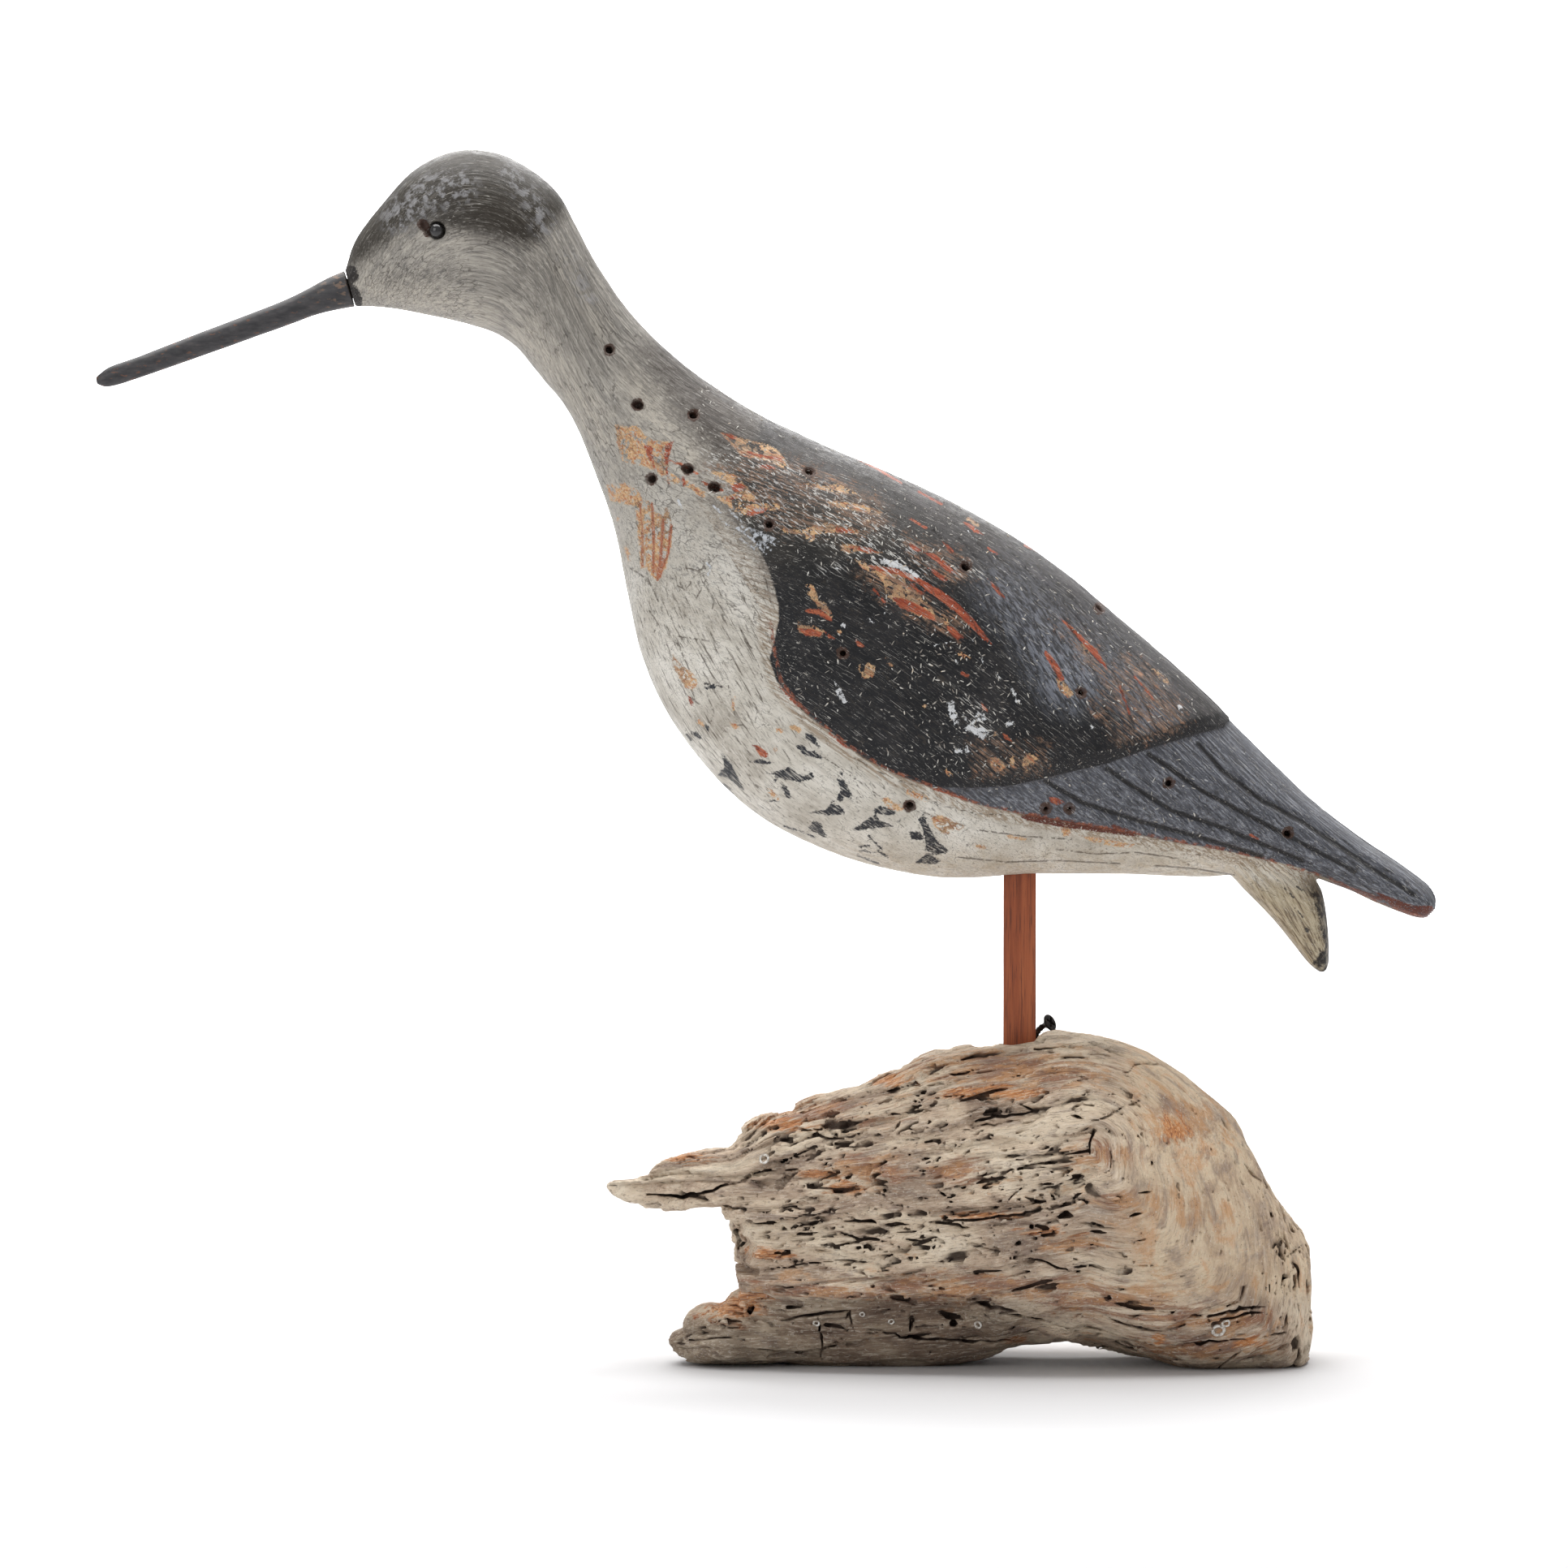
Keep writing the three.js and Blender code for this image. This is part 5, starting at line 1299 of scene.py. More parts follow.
WORN = [
    [(1340, 862), (1360, 848), (1368, 820), (1384, 806), (1405, 812), (1432, 840), (1452, 866), (1460, 890),
    (1442, 905), (1390, 918), (1368, 914), (1362, 896), (1350, 884)], [(1300, 770), (1322, 774),
    (1352, 804), (1366, 832), (1352, 840)], [(1050, 700), (1110, 708), (1190, 770), (1180, 792),
    (1090, 744)], [(960, 560), (1040, 590), (1090, 620), (1100, 650), (1040, 664), (960, 660), (900, 610),
    (870, 575)], [(1110, 660), (1180, 680), (1200, 712), (1170, 720), (1130, 700)], [(1196, 916),
    (1290, 916), (1288, 952), (1200, 956)]]
SCRATCHED = [
    [(862, 552), (960, 560), (1100, 640), (1150, 700), (1148, 726), (1090, 712), (1040, 690), (1000, 668),
    (950, 660), (900, 640), (870, 600)], [(1150, 690), (1200, 690), (1216, 716), (1176, 712)], [(1180, 856),
    (1216, 872), (1220, 906), (1190, 900)], [(1004, 700), (1040, 694), (1044, 706), (1006, 714)]]
SCRAPED = [
    (2.4, (908, 652), (925, 664), (944, 684)), (2.6, (914, 650), (932, 662), (950, 680)), (2.6, (924, 652),
    (942, 664), (956, 674)), (2, (905, 660), (922, 672), (936, 684)), (2.2, (934, 656), (950, 664),
    (960, 668)), (3, (880, 626), (890, 634)), (2.4, (902, 634), (914, 644)), (2, (886, 640), (898, 650)),
    (3, (836, 618), (840, 628)), (2, (866, 690), (876, 700), (872, 712))]
WHITE = [
    [(1060, 680), (1074, 688), (1106, 692), (1142, 716), (1132, 716), (1114, 706), (1078, 694)],
    [(1056, 660), (1078, 672), (1088, 682), (1074, 677)], [(1165, 866), (1174, 864), (1182, 886),
    (1182, 896), (1174, 894), (1168, 882)], [(1202, 876), (1212, 880), (1216, 888), (1200, 892),
    (1196, 896), (1210, 896), (1218, 902), (1210, 912), (1186, 898), (1196, 888)], [(1026, 838),
    (1034, 846), (1046, 866), (1038, 868), (1030, 856)], [(1174, 922), (1184, 922), (1186, 928),
    (1176, 930)], [(1186, 920), (1196, 926), (1198, 930), (1188, 930)], [(1240, 844), (1246, 848),
    (1256, 862), (1258, 870), (1250, 866)], [(1340, 893), (1364, 896), (1354, 900), (1342, 899)],
    [(1448, 866), (1454, 870), (1458, 880), (1450, 878)], [(1034, 770), (1044, 768), (1046, 774),
    (1036, 775)], [(1240, 888), (1248, 890), (1242, 898), (1234, 896)], [(1188, 914), (1198, 930),
    (1190, 926)], [(1482, 960), (1487, 960), (1487, 965), (1482, 965)], [(1066, 758), (1082, 772),
    (1072, 770)]]
# Painted highlights, as strokes: a silvery sheen on the crown and down the back of the head, and a bluish
# sheen on the coverts.
PAINTED_SHEEN = [
    (52, (496, 268), (530, 240), (566, 232)), (30, (628, 214), (652, 244), (672, 282)), (20, (700, 320),
    (728, 372)), (64, (1250, 720), (1290, 770), (1320, 830)), (46, (1340, 770), (1390, 830), (1420, 870))]
DUSKY = [
    (40, (560, 268), (610, 276), (650, 296)), (26, (600, 300), (664, 334), (712, 384), (752, 430)),
    (22, (716, 348), (742, 404), (790, 462), (850, 520)), (18, (640, 360), (700, 410), (744, 452)),
    (16, (800, 470), (852, 500), (900, 530)), (14, (476, 344), (560, 340), (620, 362))]
PALE = [
    (24, (640, 250), (672, 296), (704, 352), (740, 404)), (26, (450, 352), (520, 366), (600, 392)),
    (30, (650, 412), (700, 470), (740, 540)), (18, (780, 470), (820, 530), (850, 570))]
TAIL_EDGE = [
    (22, (1618, 1080), (1630, 1110), (1638, 1150)), (13, (1637, 1150), (1640, 1192)), (24, (1628, 1188),
    (1638, 1180)), (9, (1600, 1076), (1620, 1090))]
FACE_DARK = [(396, 330), (438, 328), (444, 342), (437, 352), (444, 360), (447, 370), (444, 392), (396, 390)]
SOCKET = [(13, (522, 279), (525, 283)), (10, (528, 290))]
WHITE_LINES = [
    (2, (1003, 711), (1018, 706), (1035, 701)), (2, (1088, 750), (1100, 746)), (2, (1088, 752),
    (1093, 766)), (2, (1150, 796), (1174, 790)), (2.4, (1188, 797), (1198, 798), (1197, 788)),
    (2.4, (1174, 806), (1178, 818)), (2.4, (1206, 806), (1210, 818)), (2.4, (1192, 700), (1196, 702)),
    (2.4, (1262, 742), (1268, 752)), (2.4, (1062, 890), (1078, 888)), (2, (1182, 876), (1192, 892)),
    (2.4, (1192, 655), (1202, 668)), (2, (1232, 840), (1224, 826)), (2, (1310, 880), (1322, 879)),
    (2, (1148, 768), (1152, 784))]
CHEVRONS = [
    [(890, 928), (902, 943), (917, 974), (896, 958), (884, 955), (893, 946)], [(992, 903), (1002, 906),
    (1011, 921), (992, 910)], [(980, 919), (990, 918), (995, 925), (1005, 926), (1016, 936), (992, 931)],
    [(920, 938), (938, 936), (954, 940), (938, 942)], [(944, 952), (960, 950), (975, 944), (979, 952),
    (993, 957), (1000, 951), (1004, 959), (985, 963), (968, 961)], [(1030, 959), (1040, 962), (1053, 985),
    (1041, 982), (1035, 989), (1030, 984), (1036, 975)], [(998, 1001), (1018, 997), (1024, 989),
    (1036, 993), (1042, 1003), (1022, 1005)], [(1048, 1024), (1078, 1003), (1084, 1011), (1100, 1018)],
    [(1073, 1000), (1084, 993), (1095, 995), (1104, 1003), (1088, 1004)], [(1003, 1011), (1012, 1016),
    (1019, 1033), (995, 1020)], [(1120, 1026), (1130, 1024), (1140, 1032), (1133, 1036), (1122, 1034)],
    [(1130, 1008), (1138, 1006), (1152, 1034), (1168, 1048), (1160, 1053), (1149, 1053), (1140, 1046),
    (1139, 1030)], [(1142, 1050), (1159, 1061), (1150, 1065), (1128, 1063)], [(962, 966), (970, 970),
    (976, 984), (968, 982)], [(850, 901), (861, 903), (867, 911), (857, 908)], [(868, 893), (874, 896),
    (873, 903)], [(866, 846), (880, 844), (884, 848), (870, 850)]]
CHEVRON_LINES = [
    (2.2, (1070, 1030), (1080, 1040), (1087, 1047)), (2.4, (1058, 1043), (1072, 1042)), (2.4, (1060, 1048),
    (1078, 1050)), (2.2, (1080, 1048), (1094, 1056)), (2, (1056, 1054), (1082, 1064)), (2, (966, 1018),
    (986, 1024), (1004, 1032)), (2, (878, 958), (900, 972)), (2, (884, 964), (904, 978)), (2, (942, 986),
    (960, 988)), (2, (1034, 950), (1040, 958)), (2.4, (1024, 986), (1032, 994)), (2, (1136, 1000),
    (1140, 1008)), (2, (1106, 1012), (1118, 1006)), (2, (958, 956), (952, 968))]
LINE_WIDTH = 2.0
CRACK_LINES = [(LINE_WIDTH, *line) for line in [
    [(838, 700), (862, 704), (874, 696)], [(832, 722), (846, 728), (856, 712), (884, 686)], [(836, 785),
    (876, 791)], [(884, 892), (900, 896), (916, 893)], [(852, 850), (857, 862)], [(898, 846), (906, 884)],
    [(928, 864), (934, 876), (930, 890)], [(1008, 928), (1084, 981)], [(1052, 934), (1092, 956),
    (1130, 969)], [(1120, 975), (1160, 992), (1200, 1002), (1236, 1004)], [(1136, 1000), (1160, 1010),
    (1190, 1018)], [(776, 700), (800, 716), (812, 742)], [(800, 752), (812, 770), (806, 780)], [(880, 744),
    (878, 752)], [(866, 690), (872, 712), (858, 740)], [(930, 690), (944, 716), (950, 744)], [(912, 776),
    (926, 800), (940, 836)], [(836, 838), (846, 856), (862, 868)], [(870, 852), (880, 878), (874, 896)],
    [(820, 770), (834, 790), (850, 826)], [(1200, 1022), (1260, 1030), (1320, 1034)], [(1180, 1056),
    (1240, 1062), (1300, 1060), (1380, 1064)], [(1300, 1046), (1350, 1052), (1400, 1050), (1452, 1058)],
    [(1420, 1066), (1470, 1070), (1520, 1078)]]]
INK = [
    (3, (868, 843), (880, 845), (890, 847)), (3, (846, 905), (852, 912)), (2.4, (1572, 1084), (1584, 1096),
    (1592, 1106)), (2.4, (1596, 1092), (1606, 1098)), (2.2, (1594, 1118), (1604, 1130)), (5, (1608, 1145),
    (1610, 1147))]
GOUGES = [
    (9, (788, 626), (791, 660), (792, 694)), (9, (800, 622), (803, 660), (803, 704)), (9, (811, 634),
    (812, 670), (808, 712)), (9, (823, 628), (822, 674), (813, 710))]
# Knife lines for the small feathers, down and back across the upper wing.
FEATHER_LINES = [(LINE_WIDTH, *line) for line in [
    [(1150, 655), (1190, 705), (1222, 760), (1250, 815)], [(1182, 665), (1222, 715), (1255, 775),
    (1276, 835)], [(1205, 672), (1250, 730), (1285, 790), (1318, 885)], [(1230, 690), (1276, 742),
    (1310, 800), (1345, 890)], [(1262, 700), (1302, 750), (1338, 806), (1366, 890)], [(1290, 722),
    (1330, 766), (1364, 816), (1384, 862), (1396, 900)], [(1320, 738), (1358, 782), (1392, 828),
    (1424, 900)], [(1352, 764), (1390, 804), (1420, 846), (1440, 886)], [(1382, 790), (1420, 830),
    (1450, 876)], [(1216, 740), (1240, 790), (1262, 850), (1280, 890)], [(1170, 720), (1200, 772),
    (1224, 830)]]]

bird_points, bird_quads = bird.surface()
bird_points = soften(bird_points, bird_quads, 2)
out = outward(bird_points, bird_quads)
bird_points = bird_points + out * bird_relief(bird_points, out)[:, None]
out = outward(bird_points, bird_quads)

# Whittled facets, the knife lines of the feathers and the gouges in the breast. The bare places lie
# a little lower than the paint.
seen = seen_from_side(bird_points)
near = bird_points[:, 1] < MIDDLE[1]
facets = 0.16 * noise(bird_points / [17, 6, 15], 31) + 0.07 * noise(bird_points / [5, 3, 5], 32)
facets += 0.035 * noise(bird_points / 1.6, 33)
feathers = np.clip(1 + strokes(seen, FEATHER_LINES) / 0.35, 0, 1)
feathers *= 0.3 * (0.6 + 0.8 * noise(bird_points / 9, 34)) * np.clip(np.abs(out[:, 1]) * 2, 0, 1)
gouges = 0.5 * np.sqrt(np.clip(strokes(seen, GOUGES), 0, 1)) * near
low_paint = 0.13 * smooth((patches(seen, TAN) + 0.25 * noise(bird_points / 0.9, 35)) / 0.4 + 0.5) * near
bird_points = bird_points + out * (facets - np.clip(feathers, 0, 1) - gouges - low_paint)[:, None]

mesh = make_mesh("bird", bird_points, bird_quads)
# How far each corner stands out of its surroundings. The material darkens the hollows with it as painted
# shade.
paint_on(mesh, "bulge", bulge(bird_points, bird_quads, 10))
bird_piece = thin_out("bird_painted", mesh, MOST_TRIANGLES, NEAR_IS_KEPT)

# Where each paint lies, as its outline from the side.
CAP = [
    (416, 340), (424, 334), (450, 326), (472, 309), (492, 295), (515, 283), (535, 281), (556, 286),
    (590, 290), (622, 300), (648, 306), (668, 300), (688, 276), (720, 244), (640, 120), (440, 160),
    (380, 300)]
NAPE = [
    (560, 276), (600, 290), (640, 318), (680, 352), (720, 400), (760, 430), (800, 455), (850, 490),
    (900, 520), (980, 560), (1100, 560), (900, 350), (700, 150)]
MANTLE = [
    (790, 430), (812, 470), (838, 508), (862, 545), (884, 580), (900, 606), (884, 624), (905, 650),
    (935, 684), (960, 740), (1300, 900), (1500, 700), (1100, 400), (850, 380)]
DARK_WING = [
    (905, 600), (915, 640), (936, 680), (946, 700), (953, 722), (959, 745), (960, 765), (954, 790),
    (948, 812), (957, 840), (984, 872), (1005, 890), (1022, 902), (1045, 921), (1065, 935), (1090, 948),
    (1110, 957), (1150, 971), (1200, 990), (1260, 1003), (1300, 1010), (1340, 1018), (1400, 1028),
    (1440, 1036), (1500, 1046), (1560, 1059), (1600, 1069), (1640, 1084), (1690, 1108), (1730, 1127),
    (1755, 1140), (1800, 1140), (1850, 1050), (1400, 650), (1100, 480), (960, 480)]

p = corners_of(bird_piece.data)
near = p[:, 1] < MIDDLE[1]
seen = seen_from_side(p)
wing, upper = inside(p[:, 0], p[:, 2], WING), inside(p[:, 0], p[:, 2], COVERTS)
edge, shelf = (to_line(p[:, 0], p[:, 2], line)[0] for line in (LEDGE, SHELF))


def keep(name, values, other_side=None):
    """A field for the material; other_side is what holds on the side away from the camera."""
    paint_on(bird_piece.data, name, values if other_side is None else np.where(near, values, other_side))


# The marks of each kind, as patches and strokes. The far side has a few worn places of its own.
NO_MARK = -9
FAR_WEAR = [(14, (1100, 720), (1180, 760)), (20, (900, 560), (940, 590)), (12, (1320, 850), (1380, 880))]
far_wear = strokes(seen, FAR_WEAR)
for name, outlines, lines, other_side in (
        ("cap", [CAP], [], None), ("nape", [NAPE], [], None), ("mantle", [MANTLE], [], None),
        ("face", [FACE_DARK], [], None), ("painted_sheen", [], PAINTED_SHEEN, None), ("dusky", [], DUSKY, None),
        ("pale", [], PALE, None), ("tail_edge", [], TAIL_EDGE, None), ("feathers", [], FEATHER_LINES, None),
        ("chevron", CHEVRONS, CHEVRON_LINES, None), ("tan", TAN, TAN_SPOTS, far_wear),
        ("red", RED, RED_LINES, far_wear - 1.2), ("worn", WORN, [], far_wear + 2),
        ("white", WHITE, WHITE_LINES, NO_MARK), ("scratched", SCRATCHED, [], NO_MARK),
        ("scraped", [], SCRAPED, NO_MARK), ("ink", [], INK, NO_MARK), ("cracked", [], CRACK_LINES, NO_MARK),
        ("shot", [], [(16, place) for place in SHOT] + SOCKET, NO_MARK)):
    keep(name, np.maximum(patches(seen, outlines), strokes(seen, lines)), other_side)

soft_front = smooth((1000 - seen[0]) / 110) * smooth((665 - seen[1]) / 60)
keep("wing", patches(seen, [DARK_WING]) / (1 + 10 * soft_front))
keep("ledge", np.where(wing, edge, -edge))
keep("shelf", np.where(upper, shelf, -shelf))
keep("groove", np.min([to_line(p[:, 0], p[:, 2], line)[0] for line in GROOVES], axis=0))
keep("tail", smooth((seen[1] - 1075) / 30) * smooth((seen[0] - 1490) / 40) * ~wing)
thick_on_wing = np.clip(strokes(seen, [(110, (1160, 810), (1210, 900))]) / 12 + 0.5, 0, 1)
thick_on_back = np.clip(strokes(seen, [(50, (1000, 610), (1130, 690))]) / 6 + 0.5, 0, 1)
keep("spatter", near * (0.25 * wing + 0.75 * thick_on_wing + 0.9 * thick_on_back) * (seen[0] < 1480))

# The run of the paint: along the bird, around it, and how far back.
upper_line, lower_line, _ = bird_sections(TRUNK, 18)
upper_line, lower_line = upper_line + BIRD_AT, lower_line + BIRD_AT
run = np.cumsum(np.linalg.norm(np.diff((upper_line + lower_line) / 2, axis=0, prepend=0), axis=1))
best, flow = np.full(len(p), 1e9), np.zeros((len(p), 3))
for k in range(len(run)):
    a, u = upper_line[k], lower_line[k] - upper_line[k]
    t = ((p - a) * [1, 0, 1]) @ u / (u @ u)
    off = p - a - np.clip(t, -0.1, 1.1)[:, None] * u
    gap = np.hypot(off[:, 0], off[:, 2])
    nearer = gap < best
    best = np.where(nearer, gap, best)
    flow[nearer] = np.stack([run[k] + 0 * t, t * np.linalg.norm(u), p[:, 1]], 1)[nearer]
    flow[nearer, 0] += (off @ [-u[2], 0, u[0]] / np.linalg.norm(u) * -1)[nearer]
paint_on(bird_piece.data, "flow", flow)
# How near the top of the body each corner lies. The material lightens the wing there as a painted sheen.
paint_on(bird_piece.data, "topside", smooth(1 - flow[:, 1] / 26))

f = Finish("old_oil_paint")
place, flow = f.place(), f.stored("flow", vector=True)
hairs = f.grainy(flow, (0.10, 1.7, 1.7), 4.0, 0.65, 0.3)
strands = f.grainy(flow, (0.045, 1.5, 1.5), 5.0, 0.72)
fine_hairs = f.grainy(flow, (0.22, 4.2, 4.2), 3.0, 0.6, 0.2)
brush = f.grainy(flow, (0.05, 0.45, 0.45), 5.0, 0.65, 0.2)
steep, slanting = (f.step("ShaderNodeVectorRotate", {0: place, "Angle": angle}, rotation_type="Y_AXIS")
                   for angle in (-1.05, -0.68))
steep = f.grainy(steep, (110, 1500, 1500), 4.0, 0.65, 0.3)
scratches = f.grainy(slanting, (230, 2100, 2100), 3.0, 0.6, 0.2)
blots = f.grainy(place, 70, 5.0, 0.62)
specks = f.grainy(place, 480, 4.0, 0.65)
crumbs = f.grainy(place, 1500, 3.0, 0.6)
ragged = f.add(f.add(specks, crumbs), -1.0)


def spread(name, soft, rough_edge=1.0, shift=0.0):
    """A paint's share. In millimetres: half the width of its edge, and how ragged that edge is."""
    field = f.add(f.both(ragged, rough_edge * 5), f.stored(name))
    return f.band(field, shift - soft, shift + soft)


def cracks(coordinates, size, width, seed):
    """Fine cracks between patches of paint, from 0 to 1."""
    bend = f.step("ShaderNodeTexNoise", {"Vector": coordinates, "Scale": 0.9 * size, "Detail": 2.0}, out=1)
    for shift in (bend, (seed, 0, 0)):
        coordinates = f.step("ShaderNodeVectorMath", {0: coordinates, 1: shift}, operation="ADD")
    gap = f.step("ShaderNodeTexVoronoi", {"Vector": coordinates, "Scale": size}, feature="DISTANCE_TO_EDGE")
    return f.band(gap, width, width * 0.3)


# Places in metres: how high up the bird, and how far back from its middle.
height, back_from_middle = f.part(place, 2), f.part(place, 0)
high = f.band(height, 0.185, 0.225)
breast = f.both(f.band(back_from_middle, 0.012, -0.005), f.band(height, 0.235, 0.215))
rear = f.band(height, 0.15, 0.125)

# The pale paint of the breast and belly: cream, streaked on the breast and yellower to the rear.
cream = f.coats(
    f.ramp(blots, (0.32, 172, 165, 153), (0.48, 205, 200, 189), (0.66, 222, 218, 209)),
    ((158, 150, 138), f.band(brush, 0.5, 0.7, 0, 0.5)),
    ((112, 105, 96), f.band(steep, 0.53, 0.62, 0, 0.65), breast),
    ((86, 78, 68), f.band(steep, 0.60, 0.65, 0, 0.65)),
    ((222, 218, 210), f.band(steep, 0.44, 0.36, 0, 0.6), breast),
    ((190, 172, 142), rear, f.band(brush, 0.42, 0.6, 0.2, 0.85)),
    ((118, 98, 76), rear, f.band(strands, 0.53, 0.60, 0, 0.7)),
    ((216, 206, 186), rear, f.band(strands, 0.45, 0.38, 0, 0.6)),
    # Painted shade: a brownish band on the cream just under the wing's ledge.
    ((138, 116, 90), f.where("ledge", -4.6, -2.6), f.band(strands, 0.44, 0.56), 0.75))

# The greys of the neck, the back of the neck and the cap, which run into each other.
head_grey = f.ramp(brush, (0.34, 124, 120, 114), (0.50, 152, 147, 139), (0.66, 176, 170, 160))
nape = f.ramp(hairs, (0.35, 96, 93, 89), (0.6, 140, 136, 130))
mantle = f.ramp(strands, (0.34, 52, 47, 43), (0.5, 76, 70, 65), (0.64, 112, 107, 102))
cap = f.ramp(strands, (0.34, 30, 26, 21), (0.50, 46, 42, 36), (0.64, 74, 69, 62))
cap_share = f.both(spread("cap", 3.2, 0.8), f.band(strands, 0.36, 0.50, 0.80, 1.0))
colour = f.coats(
    cream,
    (head_grey, f.band(height, 0.200, 0.262), 0.9),
    ((92, 90, 90), f.band(strands, 0.53, 0.62, 0, 0.55), high),
    ((196, 190, 179), f.band(strands, 0.46, 0.38, 0, 0.5), high),
    ((196, 188, 174), f.where("pale", -4.0, 2.2), f.band(strands, 0.40, 0.55, 0.5, 0.15)),
    (nape, spread("nape", 9, 1.5), f.band(strands, 0.40, 0.56, 0.25, 0.9)),
    ((84, 80, 75), f.where("dusky", -4.0, 1.6), f.band(strands, 0.42, 0.56, 0.3, 0.95), 0.42),
    (mantle, spread("mantle", 5, 1.6)),
    (f.coats(cap, ((42, 36, 29), f.where("dusky", -5, 1), 0.75)), cap_share),
    # Painted highlight: a silvery sheen on the crown.
    ((160, 160, 163), f.where("painted_sheen", -2.5, 4.5), f.band(specks, 0.45, 0.60), high, 0.6),
    ((38, 35, 34), spread("face", 0.3, 0.3)))

# The wing: blue-black, browner high up, lighter grey along the top of the back as a painted sheen, slate on
# the flight feathers, and pale on the tail.
dark = f.coats(
    f.ramp(blots, (0.34, 10, 11, 14), (0.52, 18, 19, 23), (0.68, 36, 35, 37)),
    ((54, 50, 43), f.band(height, 0.212, 0.236), f.band(blots, 0.36, 0.6, 0.3, 0.8)),
    ((84, 86, 92), f.band(fine_hairs, 0.56, 0.7, 0, 0.35)),
    # Painted highlight: a bluish sheen in streaks on the coverts.
    ((128, 132, 142), f.where("painted_sheen", -9, 4), f.band(steep, 0.42, 0.60, 0.15, 1.0)))
wing_share = spread("wing", 0.3, 0.10)
along_back = f.ramp(brush, (0.3, 38, 36, 35), (0.5, 60, 57, 57), (0.68, 84, 80, 81))
slate = f.ramp(hairs, (0.32, 44, 45, 49), (0.52, 88, 90, 97), (0.66, 136, 139, 146))
tail = f.stored("tail")
tail_paint = f.ramp(steep, (0.36, 192, 180, 154), (0.50, 170, 156, 130), (0.58, 122, 106, 84),
                    (0.66, 78, 64, 50))
colour = f.coats(
    colour,
    (dark, wing_share),
    # Painted sheen: lighter grey along the top of the back, fading out lower down.
    (along_back, f.stored("topside"), wing_share, 0.8),
    (slate, f.where("shelf", 0.3, -0.5), wing_share, f.band(back_from_middle, 0.035, 0.065)),
    # Painted shade: darker along the rounded bevel of the coverts, just above their lower edge.
    ((24, 24, 27), f.where("shelf", -0.3, 0.3), f.where("shelf", 4.6, 3.6), wing_share,
     f.band(back_from_middle, 0.040, 0.062), 0.9),
    (tail_paint, tail, 0.9),
    ((38, 33, 30), spread("tail_edge", 0.5, 0.5), f.band(specks, 0.36, 0.56, 0.4, 1.0), tail))

# Dark marks on the pale paint, then the wear: thin places, the tan ground and the bare red wood.
worn = f.ramp(specks, (0.35, 98, 80, 68), (0.55, 144, 116, 96), (0.68, 172, 124, 92))
ground = f.coats(
    f.ramp(crumbs, (0.35, 170, 130, 94), (0.55, 210, 172, 128), (0.68, 224, 198, 158)),
    ((168, 92, 58), f.band(hairs, 0.52, 0.60, 0, 0.8)),
    ((120, 98, 82), f.band(blots, 0.50, 0.62, 0, 0.6)))
red_wood = f.coats(
    f.ramp(hairs, (0.34, 112, 44, 28), (0.5, 152, 70, 44), (0.68, 186, 112, 78)),
    ((170, 118, 88), f.band(back_from_middle, -0.020, -0.032, 0, 0.55), f.band(height, 0.245, 0.238)),
    ((66, 30, 24), f.band(back_from_middle, 0.050, 0.062), f.where("ledge", 6, 3, 0, 0.8)))
chalky = f.ramp(blots, (0.4, 168, 166, 164), (0.6, 222, 220, 214))
rubbed_edge = f.ramp(crumbs, (0.4, 92, 44, 32), (0.6, 160, 96, 70))
colour = f.coats(
    colour,
    ((44, 42, 44), spread("ink", 0.12, 0.12), 0.9),
    ((70, 60, 50), spread("cracked", 0.12, 0.05), 0.75),
    ((36, 39, 46), spread("chevron", 0.16, 0.26), f.band(scratches, 0.36, 0.48, 0.35, 1.0)),
    (worn, spread("worn", 2.2, 1.6), f.band(hairs, 0.44, 0.6), 0.8),
    (ground, spread("tan", 0.16, 0.34), f.band(specks, 0.57, 0.52), f.band(crumbs, 0.62, 0.56, 0.3, 1.0)),
    (red_wood, spread("red", 0.16, 0.16), f.band(crumbs, 0.64, 0.58, 0.25, 1.0)),
    ((198, 203, 210), spread("scraped", 0.14, 0.2), 0.8),
    (chalky, f.where("scratched", -1.5, 2.0), f.band(scratches, 0.565, 0.615), 0.9),
    ((214, 216, 218), spread("white", 0.14, 0.36, 0.25), f.band(specks, 0.40, 0.46), 0.9),
    (rubbed_edge, f.where("ledge", 1.0, 0.5), f.where("ledge", -0.5, -0.1),
     f.band(specks, 0.44, 0.56), 0.85),
    # Painted shade in the carved grooves of the flight feathers and in the knife lines of the small
    # feathers.
    ((20, 19, 20), f.where("groove", 1.0, 0.3, 0, 0.9)),
    ((28, 27, 28), f.where("feathers", -0.25, 0.15), f.where("shelf", 3.0, 5.0),
     f.band(specks, 0.4, 0.55, 0.2, 1.0), 0.7),
    # Dark brown in and round the shot holes and the eye socket: partly bared wood, partly painted shade in
    # the holes.
    ((66, 44, 34), spread("shot", 0.16, 0.20), f.band(specks, 0.35, 0.6, 0.7, 1.0)))

